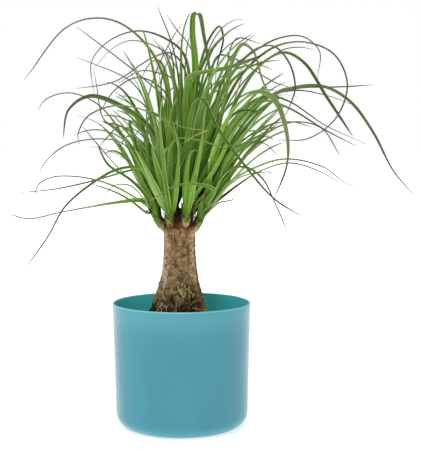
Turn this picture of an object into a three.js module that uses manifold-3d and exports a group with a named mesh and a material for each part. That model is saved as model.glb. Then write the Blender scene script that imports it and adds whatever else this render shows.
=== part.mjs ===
// A ponytail palm in a round cover pot, in millimetres, with +Z up.
// The origin is the centre of the pot's underside, and the front of the plant faces -Y.
// A stout trunk stands in soil. Six leafy shoots grow from the rim of its cut top, and
// each shoot is a short bud with long narrow keeled blades that arch over and hang.
import * as THREE from "three";
import { mergeVertices } from "three/addons/utils/BufferGeometryUtils.js";
import Module from "manifold-3d";

const wasm = await Module();
wasm.setup();

// Driving dimensions of the pot
const POT_HEIGHT = 135;
const POT_RIM_RADIUS = 75;
const POT_FOOT_RADIUS = 71.8;
const POT_WALL = 2.6;
const POT_FLOOR = 4;
const POT_CORNER = 16;
const POT_SIDES = 48;

// Driving dimensions of the soil and the trunk
const FIT_GAP = 0.3;
const SOIL_LEVEL = 108;
const SOIL_SIDES = 32;
const TRUNK_TOP = 220;
const TRUNK_SIDES = 28;
const TRUNK_FOOT = 84;
const TRUNK_X = -2.2;
const FOOT_LEAN = -1.8;

// Driving dimensions of the shoots and their blades. Blades of one shoot may touch in its root
// zone, and everywhere else a blade keeps its clearance. A keel is a share of the blade's width.
const BUD_RADIUS = 5.6;
const BUD_LENGTH = 34;
const BUD_SIDES = 9;
const ROOT_ZONE = 34;
const CLEARANCE = 0.5;
const KEEL_SHARE = 0.22;
const KEEL_LEAST = 0.7;
const THREAD_WIDTH = 0.8;
const MOST_ROLL = 0.6;
const BLADES_EACH = 27;
const LONGEST_BLADE = 330;
const SHORTEST_BLADE = 130;

// How finely a blade follows its path
const BEND_SAG = 2;
const LONGEST_STEP = 110;
const FEWEST_STEPS = 4;
const MOST_STEPS = 11;
const FINEST_DETAIL = 0.04;

const degrees = THREE.MathUtils.degToRad;
const vector = (x, y, z) => new THREE.Vector3(x, y, z);

// Solids: a geometry becomes a manifold-3d solid to be joined or cut, and comes back as a geometry.

function solidOf(geometry) {
  const bare = geometry.clone();
  bare.deleteAttribute("normal");
  bare.deleteAttribute("uv");
  const merged = mergeVertices(bare, 1e-4);
  const vertProperties = new Float32Array(merged.attributes.position.array);
  const triVerts = new Uint32Array(merged.index.array);
  return new wasm.Manifold(new wasm.Mesh({ numProp: 3, vertProperties, triVerts }));
}

function geometryOf(solid) {
  const mesh = solid.getMesh();
  const geometry = new THREE.BufferGeometry();
  geometry.setAttribute("position", new THREE.BufferAttribute(mesh.vertProperties, 3));
  geometry.setIndex(new THREE.BufferAttribute(mesh.triVerts, 1));
  geometry.computeVertexNormals();
  return geometry;
}

// The largest body of a solid, without the loose scraps, sealed hollows and slivers that joining leaves.
function mainBody(solid) {
  const bodies = solid.simplify(FINEST_DETAIL).decompose();
  return bodies.sort((a, b) => b.volume() - a.volume())[0];
}

// A closed skin over rings of points that run anticlockwise seen against the direction of travel.
// A ring of one point is an apex; any other end ring is closed by a fan.
function skin(rings) {
  const position = [];
  const index = [];
  const first = [];
  for (const ring of rings) {
    first.push(position.length / 3);
    ring.forEach((p) => position.push(p.x, p.y, p.z));
  }
  for (let i = 0; i + 1 < rings.length; i += 1) {
    const [a, b] = [first[i], first[i + 1]];
    const [na, nb] = [rings[i].length, rings[i + 1].length];
    for (let j = 0; j < Math.max(na, nb); j += 1) {
      const k = (j + 1) % Math.max(na, nb);
      if (na > 1) index.push(a + j, a + k, b + (nb > 1 ? k : 0));
      if (nb > 1) index.push(a + (na > 1 ? j : 0), b + k, b + j);
    }
  }
  const last = rings.length - 1;
  for (let j = 1; j + 1 < rings[0].length; j += 1) {
    index.push(first[0], first[0] + j + 1, first[0] + j);
  }
  for (let j = 1; j + 1 < rings[last].length; j += 1) {
    index.push(first[last], first[last] + j, first[last] + j + 1);
  }
  const geometry = new THREE.BufferGeometry();
  geometry.setAttribute("position", new THREE.Float32BufferAttribute(position, 3));
  geometry.setIndex(index);
  return geometry;
}

// The pot: one thin tapering wall with a rounded foot corner and a rounded rim.

function wallRadius(z) {
  const taper = (POT_RIM_RADIUS - POT_FOOT_RADIUS) / (POT_HEIGHT - POT_CORNER);
  return POT_FOOT_RADIUS + taper * (z - POT_CORNER);
}

function potSolid() {
  const profile = [new THREE.Vector2(0, 0)];
  const cornerSteps = 4;
  for (let i = 0; i <= cornerSteps; i += 1) {
    const a = (Math.PI / 2) * (i / cornerSteps);
    const r = POT_FOOT_RADIUS - POT_CORNER + POT_CORNER * Math.sin(a);
    profile.push(new THREE.Vector2(r, POT_CORNER * (1 - Math.cos(a))));
  }
  const lip = POT_WALL / 2;
  const lipSteps = 4;
  for (let i = 0; i <= lipSteps; i += 1) {
    const a = Math.PI * (i / lipSteps);
    const r = wallRadius(POT_HEIGHT) - lip + lip * Math.cos(a);
    profile.push(new THREE.Vector2(r, POT_HEIGHT - lip + lip * Math.sin(a)));
  }
  const innerCorner = POT_CORNER - POT_WALL;
  for (let i = cornerSteps; i >= 0; i -= 1) {
    const a = (Math.PI / 2) * (i / cornerSteps);
    const r = POT_FOOT_RADIUS - POT_CORNER + innerCorner * Math.sin(a);
    profile.push(new THREE.Vector2(r, POT_FLOOR + innerCorner * (1 - Math.cos(a))));
  }
  profile.push(new THREE.Vector2(0, POT_FLOOR));
  return solidOf(new THREE.LatheGeometry(profile, POT_SIDES).rotateX(Math.PI / 2));
}

// The trunk: a tapering stem with shallow flutes that grow into root buttresses at the foot,
// and the stub of the old dead crown in the middle of its cut top.

const TRUNK_PROFILE = [
  [TRUNK_FOOT, 27],
  [88, 33],
  [98, 38],
  [108, 38],
  [118, 35],
  [127, 31.4],
  [135, 28],
  [144, 24.6],
  [156, 21.3],
  [170, 18.8],
  [186, 17.4],
  [203, 16.9],
  [212, 17.1],
  [217, 17.3],
  [TRUNK_TOP, 15.8],
  [TRUNK_TOP + 1.5, 11],
  [TRUNK_TOP + 2.5, 6],
  [TRUNK_TOP + 7, 5.2],
  [TRUNK_TOP + 15, 4.9],
  [TRUNK_TOP + 17, 3],
];

// How much a height belongs to the swollen foot: none above it, and all at its widest.
const footShare = (z) => THREE.MathUtils.clamp((165 - z) / 40, 0, 1);

function trunkRadius(angle, z, radius) {
  const flutes = 0.02 * Math.cos(5 * angle + 0.6) + 0.012 * Math.cos(8 * angle - 1.1);
  const roots = 0.045 * Math.cos(7 * angle + 2.2) + 0.03 * Math.cos(11 * angle + 0.4);
  const rings = 0.01 * Math.sin(z * 0.9 + 2 * Math.sin(2 * angle));
  return radius * (1 + flutes + roots * footShare(z) + rings);
}

function trunkSolid(grown) {
  const rings = TRUNK_PROFILE.map(([z, radius]) => {
    const ring = [];
    for (let i = 0; i < TRUNK_SIDES; i += 1) {
      const angle = (2 * Math.PI * i) / TRUNK_SIDES;
      const r = trunkRadius(angle, z, radius) + grown;
      ring.push(vector(TRUNK_X + FOOT_LEAN * footShare(z) + r * Math.cos(angle), r * Math.sin(angle), z));
    }
    return ring;
  });
  rings.unshift([vector(TRUNK_X + FOOT_LEAN, 0, TRUNK_FOOT - 2 - grown)]);
  rings.push([vector(TRUNK_X, 0, TRUNK_TOP + 18 + grown)]);
  return solidOf(skin(rings));
}

// The soil: it fills the pot to its level, rises a little in lumps, and has a plain hole for the
// trunk. Its sides are few, so it keeps a little more than the fit gap to the pot's own facets.

function soilSolid() {
  const inner = (z) => wallRadius(z) - POT_WALL - FIT_GAP - 0.2;
  const ringAt = (z, radius, lumps) => {
    const ring = [];
    for (let i = 0; i < SOIL_SIDES; i += 1) {
      const a = (2 * Math.PI * i) / SOIL_SIDES;
      const lump = lumps * (Math.sin(5 * a + radius) + Math.sin(9 * a - 0.3 * radius));
      ring.push(vector(radius * Math.cos(a), radius * Math.sin(a), z + lump));
    }
    return ring;
  };
  const rings = [
    [vector(0, 0, POT_FLOOR + FIT_GAP)],
    ringAt(POT_FLOOR + FIT_GAP, 54, 0),
    ringAt(9.5, 63.5, 0),
    ringAt(18, inner(18), 0),
    ringAt(SOIL_LEVEL - 2, inner(SOIL_LEVEL - 2), 0),
    ringAt(SOIL_LEVEL, 66, 0.5),
    ringAt(SOIL_LEVEL + 0.5, 57, 0.9),
    ringAt(SOIL_LEVEL + 1.5, 48, 0.8),
    ringAt(SOIL_LEVEL + 2, 38, 0.4),
    [vector(0, 0, SOIL_LEVEL + 2)],
  ];
  return solidOf(skin(rings)).subtract(trunkSolid(FIT_GAP));
}

// The shoots, in their order round the trunk's rim: where each bud is rooted and which way it leans.
// Azimuth runs anticlockwise from +X, so 270 degrees is the front.

const SHOOTS = {
  left: { azimuth: 183, lean: 33, rim: 16.2, height: 215 },
  front_left: { azimuth: 232, lean: 20, rim: 13, height: 219 },
  front_right: { azimuth: 296, lean: 14, rim: 13.5, height: 219 },
  right: { azimuth: 352, lean: 27, rim: 16.2, height: 214 },
  back_right: { azimuth: 52, lean: 22, rim: 14, height: 218 },
  back_left: { azimuth: 124, lean: 24, rim: 14, height: 218 },
};

for (const shoot of Object.values(SHOOTS)) {
  const a = degrees(shoot.azimuth);
  const lean = degrees(shoot.lean);
  shoot.root = vector(TRUNK_X + shoot.rim * Math.cos(a), shoot.rim * Math.sin(a), shoot.height);
  shoot.axis = vector(Math.sin(lean) * Math.cos(a), Math.sin(lean) * Math.sin(a), Math.cos(lean));
}

// Bud outline: distance along the bud and radius, as shares of its length and of its radius.
const BUD_OUTLINE = [
  [-0.16, 0.5],
  [0, 0.8],
  [0.22, 0.86],
  [0.5, 1],
  [0.76, 0.8],
  [0.93, 0.38],
];

function budSolid(shoot, grown) {
  const side = vector(0, 0, 1).cross(shoot.axis).normalize();
  const other = shoot.axis.clone().cross(side);
  const rings = BUD_OUTLINE.map(([along, share]) => {
    const centre = shoot.root.clone().addScaledVector(shoot.axis, along * BUD_LENGTH);
    const ring = [];
    for (let i = 0; i < BUD_SIDES; i += 1) {
      const a = (2 * Math.PI * i) / BUD_SIDES;
      const r = share * BUD_RADIUS + grown;
      const p = centre.clone().addScaledVector(side, r * Math.cos(a));
      ring.push(p.addScaledVector(other, r * Math.sin(a)));
    }
    return ring;
  });
  const foot = shoot.root.clone().addScaledVector(shoot.axis, -0.2 * BUD_LENGTH - grown);
  const tip = shoot.root.clone().addScaledVector(shoot.axis, BUD_LENGTH + grown);
  return solidOf(skin([[foot], ...rings, [tip]]));
}

// The blades that give the crown its outline. Each row holds the shoot, how far the tip comes
// forward (-) or goes back (+), the blade's width, and the points [x, height] that it passes in
// the front view. That view is taken from EYE, and shows true sizes at the trunk.

const EYE = vector(31, -1200, 314);
const OUTLINE_BLADES = [
  ["left", -50, 5, [-44, 283], [-68, 322], [-83, 333], [-90, 366], [-93, 384]],
  ["left", 30, 5, [-26, 267], [-39, 352], [-53, 372], [-66, 380], [-111, 398]],
  ["left", 60, 6, [-43, 269], [-67, 322], [-91, 350], [-120, 361], [-145, 354], [-154, 342]],
  ["left", 100, 5, [-36, 256], [-60, 305], [-89, 312], [-128, 303], [-151, 280], [-153, 269]],
  ["left", -70, 9, [-38, 250], [-55, 268], [-79, 284], [-91, 308]],
  ["left", -40, 8, [-32, 239], [-41, 245], [-72, 243], [-131, 233], [-165, 226], [-189, 232]],
  ["left", 80, 7, [-32, 236], [-49, 249], [-77, 263], [-109, 271], [-138, 271], [-154, 263], [-159, 247]],
  ["left", -100, 7, [-36, 232], [-57, 247], [-75, 256], [-96, 263]],
  ["left", 130, 4, [-39, 251], [-67, 280], [-90, 306], [-105, 324]],
  ["left", -120, 4, [-35, 240], [-54, 261], [-73, 261], [-84, 248]],
  ["left", -20, 5, [-38, 269], [-49, 313], [-65, 325], [-81, 312], [-88, 303]],
  ["left", -60, 9, [-39, 262], [-51, 312], [-55, 331], [-47, 327], [-31, 307]],
  ["left", 20, 4, [-33, 278], [-37, 347], [-28, 381], [-10, 418], [1, 434]],
  ["left", -150, 5, [-35, 289], [-33, 339], [-21, 335], [2, 324], [29, 320]],
  ["front_left", -60, 8, [-6, 299], [-18, 375], [-35, 409], [-64, 434], [-92, 440], [-123, 430],
    [-168, 374]],
  ["front_left", -90, 5, [-4, 299], [-12, 353], [-28, 371], [-48, 377], [-72, 363], [-89, 337]],
  ["front_left", -100, 10, [-18, 289], [-33, 322], [-62, 345], [-98, 357], [-121, 342], [-127, 312]],
  ["front_left", -110, 6, [-26, 262], [-39, 280], [-55, 278], [-90, 268], [-134, 258], [-180, 253]],
  ["front_left", -140, 7, [-23, 256], [-45, 280], [-68, 279], [-97, 263], [-126, 238],
    [-144, 207], [-170, 171]],
  ["front_left", -20, 6, [-15, 278], [-19, 329], [-23, 377], [-28, 395]],
  ["front_left", 10, 5, [-15, 299], [-21, 374], [-13, 396], [-3, 413], [8, 423]],
  ["front_left", -70, 9, [9, 310], [21, 393], [33, 423], [41, 431], [45, 418], [39, 392], [36, 370]],
  ["front_left", -150, 9, [5, 299], [15, 350], [22, 355], [37, 326], [69, 282], [99, 248], [133, 226]],
  ["front_left", -120, 8, [-12, 262], [-11, 304], [-4, 312], [20, 310], [51, 300]],
  ["front_right", 60, 6, [10, 321], [4, 399], [-15, 417], [-45, 426], [-76, 416], [-96, 393], [-93, 359]],
  ["front_right", -30, 8, [2, 289], [-17, 330], [-44, 344], [-73, 347], [-101, 335], [-111, 315],
    [-109, 305]],
  ["front_right", 70, 11, [10, 299], [15, 389], [12, 427], [14, 444], [19, 444], [24, 422],
    [30, 387], [33, 358]],
  ["front_right", 100, 7, [23, 310], [31, 379], [40, 400], [55, 398], [100, 372], [118, 366]],
  ["front_right", -90, 9, [31, 321], [50, 374], [78, 406], [97, 411], [114, 395], [122, 366], [112, 336]],
  ["front_right", -60, 12, [6, 299], [5, 358], [9, 378], [21, 382], [49, 387], [84, 399]],
  ["right", -30, 11, [33, 289], [46, 353], [56, 398], [66, 412], [77, 405], [87, 374], [94, 359]],
  ["right", -60, 8, [35, 321], [65, 381], [100, 410], [131, 415], [163, 402], [178, 370],
    [166, 333], [136, 311], [103, 310]],
  ["right", 40, 6, [41, 331], [73, 380], [108, 406], [127, 409], [142, 406]],
  ["right", -100, 11, [36, 299], [59, 355], [86, 393], [110, 404], [131, 393], [155, 357], [184, 314]],
  ["right", -20, 8, [38, 289], [63, 339], [96, 358], [127, 366], [164, 367], [205, 369]],
  ["right", 60, 9, [42, 299], [79, 347], [120, 366], [153, 367], [181, 351], [206, 318],
    [228, 277], [253, 248]],
  ["right", -80, 8, [35, 278], [63, 329], [90, 352], [116, 344], [154, 321], [187, 304]],
  ["right", -130, 10, [34, 299], [61, 350], [82, 362], [99, 354], [112, 323], [114, 287], [99, 245]],
  ["right", 20, 7, [39, 267], [65, 303], [92, 319], [121, 330], [151, 323], [172, 291]],
  ["right", -110, 5, [36, 256], [51, 297], [74, 308], [90, 306], [105, 292]],
  ["right", -40, 6, [33, 243], [46, 261], [77, 280], [112, 290], [153, 281], [177, 264], [200, 260]],
  ["right", 50, 5, [35, 242], [82, 276], [115, 286], [148, 277], [176, 261]],
  ["right", -120, 6, [34, 254], [51, 278], [69, 281], [87, 269], [101, 242], [114, 211]],
  ["right", 80, 4, [33, 243], [62, 270], [87, 276], [97, 275], [96, 263]],
  ["right", -30, 5, [26, 231], [40, 243], [56, 247], [57, 255]],
  ["right", -110, 8, [28, 243], [34, 257], [15, 263], [-7, 261], [-34, 245]],
  ["back_right", 100, 6, [9, 310], [3, 387], [-12, 403], [-33, 397], [-71, 373], [-113, 365]],
  ["back_right", 80, 5, [18, 321], [19, 379], [9, 411], [-4, 427], [-15, 443]],
  ["back_right", 50, 7, [35, 321], [49, 391], [53, 410], [61, 419], [86, 412]],
  ["back_right", 90, 7, [35, 342], [48, 381], [70, 399], [103, 418], [130, 420], [148, 404], [145, 374]],
  ["back_right", 120, 6, [47, 310], [86, 352], [120, 363], [158, 357], [190, 345]],
  ["back_right", 30, 6, [36, 289], [63, 340], [89, 357], [114, 352], [154, 326], [198, 306]],
  ["back_right", 90, 5, [36, 273], [62, 306], [92, 326], [119, 330], [140, 324]],
  ["back_left", 70, 6, [-6, 299], [-17, 353], [-40, 376], [-86, 412], [-112, 431]],
  ["back_left", 110, 6, [4, 310], [0, 374], [-16, 403], [-51, 416], [-71, 409], [-95, 385]],
  ["back_left", 40, 5, [1, 321], [-8, 374], [-25, 382], [-44, 384], [-68, 370]],
  ["back_left", 30, 7, [-1, 310], [-4, 385], [-11, 417], [-25, 452]],
];

// Where a blade is rooted on its bud: a share along it, and on the side that faces its heading.
function rootOn(shoot, share, heading) {
  const outward = heading.clone().addScaledVector(shoot.axis, -heading.dot(shoot.axis)).normalize();
  const root = shoot.root.clone().addScaledVector(shoot.axis, (0.26 + 0.52 * share) * BUD_LENGTH);
  return root.addScaledVector(outward, (0.7 - 0.45 * share) * BUD_RADIUS);
}

// A smooth line through a row's points, each pushed along its sight line to the blade's depth there:
// a depth that grows steadily from root to tip, and bows forward or back on the way.
function outlinePath(shoot, row, share, shift, bow) {
  const [, depth, , ...points] = row;
  const tipDepth = depth + shift;
  const atDepth = (x, z, y) => vector(x, 0, z).sub(EYE).multiplyScalar(1 - y / EYE.y).add(EYE);
  const [tipX, tipZ] = points[points.length - 1];
  const heading = atDepth(tipX, tipZ, tipDepth).sub(shoot.root).setZ(0).normalize();
  const root = rootOn(shoot, share, heading);
  const chords = [];
  points.forEach(([x, z], i) => {
    const [px, pz] = i ? points[i - 1] : [root.x, root.z];
    chords.push((i ? chords[i - 1] : 0) + Math.hypot(x - px, z - pz));
  });
  const placed = points.map(([x, z], i) => {
    const along = chords[i] / chords[chords.length - 1];
    return atDepth(x, z, root.y + (tipDepth - root.y) * along + bow * Math.sin(Math.PI * along));
  });
  const leaving = placed[0].clone().sub(root).normalize().multiplyScalar(0.6);
  leaving.addScaledVector(shoot.axis, 0.7).normalize();
  const exit = root.clone().addScaledVector(leaving, 15);
  const curve = new THREE.CatmullRomCurve3([root, exit, ...placed], false, "centripetal");
  return { points: curve.getPoints(14 * (placed.length + 1)), heading };
}

// The other blades: a seeded rule. A blade leaves its bud at a spread from the bud's axis, and then
// turns down steadily more along its length, while its heading drifts to one side. It is as long as
// the crown's bounds allow.

let seed = 22564;
function random() {
  seed = (seed * 48271) % 2147483647;
  return seed / 2147483647;
}

// The crown's bounds for these blades: an oval in the front view, an oval seen from above, and a
// lower bound that rises outwards, and more so on the right.
function withinCrown(points) {
  return points.every((p) => {
    const out = Math.hypot(p.x, p.y);
    const front = ((p.x - 14 - 0.1 * (p.z - 330)) / 98) ** 2 + ((p.z - 330) / 110) ** 2;
    const above = ((p.x - 16) / 120) ** 2 + (p.y / 140) ** 2;
    return front < 1 && above < 1 && (out < 45 || p.z > 222 + 0.5 * out + 0.2 * p.x);
  });
}

function rulePath(shoot, share, turn) {
  const spread = degrees(5 + 24 * (1 - share) + 10 * (random() - 0.5));
  const around = turn + 0.7 * (random() - 0.5);
  const endSlope = degrees(35 - 95 * random());
  const power = 1.6 + 1.6 * random();
  const drift = degrees(80 * (random() - 0.5));
  const side = vector(0, 0, 1).cross(shoot.axis).normalize();
  const other = shoot.axis.clone().cross(side);
  const radial = side.multiplyScalar(Math.cos(around)).addScaledVector(other, Math.sin(around));
  const start = shoot.axis.clone().multiplyScalar(Math.cos(spread));
  start.addScaledVector(radial, Math.sin(spread));
  const slope = Math.asin(start.z);
  const bearing = Math.atan2(start.y, start.x);
  const heading = vector(Math.cos(bearing + drift / 2), Math.sin(bearing + drift / 2), 0);
  const steps = 60;
  for (let length = LONGEST_BLADE; length > SHORTEST_BLADE; length *= 0.92) {
    const points = [rootOn(shoot, share, radial)];
    for (let i = 0; i < steps; i += 1) {
      const t = (i + 0.5) / steps;
      const s = slope + (endSlope - slope) * t ** power;
      const b = bearing + drift * t * t;
      const step = vector(Math.cos(s) * Math.cos(b), Math.cos(s) * Math.sin(b), Math.sin(s));
      points.push(points[i].clone().addScaledVector(step, length / steps));
    }
    if (withinCrown(points)) return { points, heading };
  }
  return null;
}

// A blade opens from a narrow base to its full width, and then narrows to a thread, a narrow blade
// sooner than a broad one.
function widthAt(width, t) {
  const opening = 0.5 + 0.5 * Math.sin(Math.min(1, t / 0.25) * (Math.PI / 2));
  return width * opening * Math.max(0, 1 - t) ** (1.5 - 0.08 * width) + THREAD_WIDTH;
}

// The blade over a dense path: stations far apart where it runs straight and close where it bends,
// so that the straight stretches between them leave the path by about BEND_SAG at most. The blade
// lies level across its heading, but for its roll.
function bladeOver({ points, heading }, width, roll) {
  const cost = [0];
  const distance = [0];
  for (let i = 1; i < points.length; i += 1) {
    const step = points[i].clone().sub(points[i - 1]);
    let turn = 0;
    if (i + 1 < points.length) turn = step.angleTo(points[i + 1].clone().sub(points[i]));
    const length = step.length();
    distance.push(distance[i - 1] + length);
    cost.push(cost[i - 1] + Math.sqrt((turn * length) / (8 * BEND_SAG)) + length / LONGEST_STEP);
  }
  const total = cost[cost.length - 1];
  const steps = THREE.MathUtils.clamp(Math.ceil(total), FEWEST_STEPS, MOST_STEPS);
  const side = vector(-heading.y, heading.x, 0);
  const stations = [];
  let k = 1;
  for (let i = 0; i <= steps; i += 1) {
    const wanted = (total * i) / steps;
    while (k + 1 < cost.length && cost[k] < wanted) k += 1;
    const f = (wanted - cost[k - 1]) / (cost[k] - cost[k - 1]);
    const t = (distance[k - 1] + (distance[k] - distance[k - 1]) * f) / distance[distance.length - 1];
    stations.push({ point: points[k - 1].clone().lerp(points[k], f), width: widthAt(width, t) });
  }
  stations.forEach((s, i) => {
    const before = stations[Math.max(0, i - 1)].point;
    const after = stations[Math.min(steps, i + 1)].point;
    const along = after.clone().sub(before).normalize();
    s.across = side.clone().addScaledVector(along, -side.dot(along)).normalize();
    s.across.applyAxisAngle(along, roll);
    s.upper = along.cross(s.across);
    s.keel = Math.max(KEEL_LEAST, KEEL_SHARE * s.width);
    s.middle = s.point.clone().addScaledVector(s.upper, -s.keel / 2);
  });
  return stations;
}

// Clearance: two straight stretches of blade are apart if, on the line between their closest
// points, the gap is more than what both flat sections reach along that line.

function closestOffset(p, q, r, s) {
  const [d, e, w] = [q.clone().sub(p), s.clone().sub(r), p.clone().sub(r)];
  const [a, b, c, f, g] = [d.dot(d), d.dot(e), e.dot(e), d.dot(w), e.dot(w)];
  const clamp = (x) => Math.min(1, Math.max(0, x));
  const denominator = a * c - b * b;
  let u = denominator > 1e-9 ? clamp((b * g - c * f) / denominator) : 0;
  const v = clamp((b * u + g) / c);
  u = clamp((b * v - f) / a);
  return w.addScaledVector(d, u).addScaledVector(e, -v);
}

function stretchesOf(blade, shoot) {
  const stretches = [];
  for (let i = 0; i + 1 < blade.length; i += 1) {
    const [a, b] = [blade[i], blade[i + 1]];
    const near = Math.min(a.point.distanceTo(shoot.root), b.point.distanceTo(shoot.root));
    stretches.push({
      from: a.middle,
      to: b.middle,
      across: a.across.clone().add(b.across).normalize(),
      upper: a.upper.clone().add(b.upper).normalize(),
      half: Math.max(a.width, b.width) / 2,
      thick: Math.max(a.keel, b.keel) / 2,
      round: 0,
      shoot,
      rooted: near < ROOT_ZONE,
    });
  }
  return stretches;
}

function reachAlong(stretch, direction) {
  const flat = Math.abs(direction.dot(stretch.across)) * stretch.half;
  return flat + Math.abs(direction.dot(stretch.upper)) * stretch.thick + stretch.round;
}

function isClear(stretches, placed) {
  return stretches.every((s) =>
    placed.every((o) => {
      if (s.shoot === o.shoot && (s.rooted || o.rooted)) return true;
      const offset = closestOffset(s.from, s.to, o.from, o.to);
      const gap = offset.length();
      if (gap > s.half + o.half + o.round + 4) return true;
      if (gap < 1e-6) return false;
      offset.divideScalar(gap);
      return gap > reachAlong(s, offset) + reachAlong(o, offset) + CLEARANCE;
    }),
  );
}

function roundStretch(from, to, round, shoot) {
  const flat = vector(0, 0, 0);
  return { from, to, across: flat, upper: flat, half: 0, thick: 0, round, shoot, rooted: true };
}

// Planting. A blade grows where its stretches clear everything in place, and is kept there.

const shoots = Object.values(SHOOTS);
const placed = [];
placed.push(roundStretch(vector(TRUNK_X, 0, 110), vector(TRUNK_X, 0, 197), 18.5, null));
placed.push(roundStretch(vector(TRUNK_X, 0, 226), vector(TRUNK_X, 0, 234), 5, null));
for (const shoot of shoots) {
  const tip = shoot.root.clone().addScaledVector(shoot.axis, BUD_LENGTH);
  placed.push(roundStretch(shoot.root, tip, BUD_RADIUS, shoot));
  shoot.grown = [];
}

function grow(shoot, path, width, roll) {
  const blade = bladeOver(path, width, roll);
  const stretches = stretchesOf(blade, shoot);
  if (!isClear(stretches, placed)) return false;
  placed.push(...stretches);
  shoot.grown.push(blade);
  return true;
}

// The outline blades come first, the broadest of them first of all. The higher a blade's first
// point, the higher on its bud it is rooted. Each is bent forward or back until it is clear, or
// else grows from the nearest shoot round the rim where it is.
const BOWS = [0, -12, 12, -24, 24];
const SHIFTS = [0, -9, 9, -18, 18, -28, 28, -40, 40, -55, 55];
const ROUND_THE_RIM = [0, 1, -1, 2, -2, 3];

function growOutline(row) {
  const own = Object.keys(SHOOTS).indexOf(row[0]);
  for (const round of ROUND_THE_RIM) {
    const shoot = shoots[(own + round + shoots.length) % shoots.length];
    const order = shoot.grown.length;
    const firstHeight = row[3][1];
    const rise = THREE.MathUtils.clamp((firstHeight - 230) / 90, 0, 1);
    const share = 0.75 * rise + 0.25 * ((0.618 * order) % 1);
    const roll = MOST_ROLL * Math.sin(2.4 * order);
    for (const bow of BOWS) {
      for (const shift of SHIFTS) {
        if (grow(shoot, outlinePath(shoot, row, share, shift, bow), row[2], roll)) return;
      }
    }
  }
}

[...OUTLINE_BLADES].sort((a, b) => b[2] - a[2]).forEach(growOutline);

// The others fill the crown by the rule, one on each shoot in turn.
const GOLDEN_ANGLE = degrees(137.508);
const MOST_ROUNDS = 140;
const MOST_TRIES = 12;

function growByRule(shoot, round) {
  const share = 0.03 + 0.94 * ((0.618 * round) % 1);
  const width = 7 + 2 * share + 3 * random();
  const roll = MOST_ROLL * (2 * random() - 1);
  for (let tries = 0; tries < MOST_TRIES; tries += 1) {
    const path = rulePath(shoot, share, round * GOLDEN_ANGLE + tries * 0.9);
    if (path && grow(shoot, path, width, roll)) return;
  }
}

for (let round = 0; round < MOST_ROUNDS; round += 1) {
  for (const shoot of shoots) {
    if (shoot.grown.length < BLADES_EACH) growByRule(shoot, round);
  }
}

// A blade's solid: a flat upper face with a keel below it, closed at the root and drawn to a point.
function bladeSolid(blade) {
  const rings = blade.slice(0, -1).map((s) => [
    s.point.clone().addScaledVector(s.across, -s.width / 2),
    s.point.clone().addScaledVector(s.upper, -s.keel),
    s.point.clone().addScaledVector(s.across, s.width / 2),
  ]);
  return solidOf(skin([...rings, [blade[blade.length - 1].point]]));
}

// Put together

const plant = new THREE.Group();

function addPart(name, solid, material) {
  const mesh = new THREE.Mesh(geometryOf(solid), new THREE.MeshStandardMaterial(material));
  mesh.name = name;
  plant.add(mesh);
}

const sockets = shoots.map((shoot) => budSolid(shoot, FIT_GAP));
const trunk = sockets.reduce((solid, socket) => solid.subtract(socket), trunkSolid(0));

addPart("pot", potSolid(), { color: 0x4f9fb0, roughness: 0.42, metalness: 0 });
addPart("soil", soilSolid(), { color: 0x3a2a1e, roughness: 0.95, metalness: 0 });
addPart("trunk", trunk, { color: 0x86705a, roughness: 0.9, metalness: 0 });
for (const [name, shoot] of Object.entries(SHOOTS)) {
  const blades = shoot.grown.map(bladeSolid);
  const solid = mainBody(wasm.Manifold.union([budSolid(shoot, 0), ...blades]));
  addPart("shoot_" + name, solid, { color: 0x4f8f2c, roughness: 0.5, metalness: 0 });
}

export default plant;
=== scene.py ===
# A ponytail palm in a round cover pot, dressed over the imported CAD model.
# Shapes are worked out in millimetres, as in the CAD source, and put into Blender in metres.
import math

import bpy
import numpy as np
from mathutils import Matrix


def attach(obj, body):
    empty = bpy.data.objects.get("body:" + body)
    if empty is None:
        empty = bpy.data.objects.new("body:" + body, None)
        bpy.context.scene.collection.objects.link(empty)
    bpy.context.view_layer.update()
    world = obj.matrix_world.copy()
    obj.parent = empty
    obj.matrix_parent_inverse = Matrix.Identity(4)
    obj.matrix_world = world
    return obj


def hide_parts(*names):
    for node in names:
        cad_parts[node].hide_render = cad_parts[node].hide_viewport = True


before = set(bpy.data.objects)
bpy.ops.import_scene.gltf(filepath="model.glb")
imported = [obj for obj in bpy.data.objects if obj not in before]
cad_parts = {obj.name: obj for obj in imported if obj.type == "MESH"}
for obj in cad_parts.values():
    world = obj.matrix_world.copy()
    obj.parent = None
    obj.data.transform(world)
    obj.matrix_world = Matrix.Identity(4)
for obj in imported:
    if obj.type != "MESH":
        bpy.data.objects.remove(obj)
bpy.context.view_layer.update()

# THE COVER POT
# One thin wall of injection-moulded polypropylene, which tapers a little towards a foot with a
# rounded edge and ends in a rounded lip. The colour goes right through, and the skin is satin.

MILLIMETRE = 0.001
POT_HEIGHT = 135
POT_RIM_RADIUS = 75
POT_FOOT_RADIUS = 71.8
POT_WALL = 2.6
POT_FLOOR = 4
POT_CORNER = 16
POT_SIDES = 144

# Between these heights the lip's edge is painted paler, as a painted highlight
LIP_HIGHLIGHT_STARTS = 133.2
LIP_HIGHLIGHT_ENDS = 134.6


def wall_radius(z):
    """Outside radius of the pot's wall: it grows in a straight line from foot to rim."""
    taper = (POT_RIM_RADIUS - POT_FOOT_RADIUS) / (POT_HEIGHT - POT_CORNER)
    return POT_FOOT_RADIUS + taper * (z - POT_CORNER)


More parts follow.
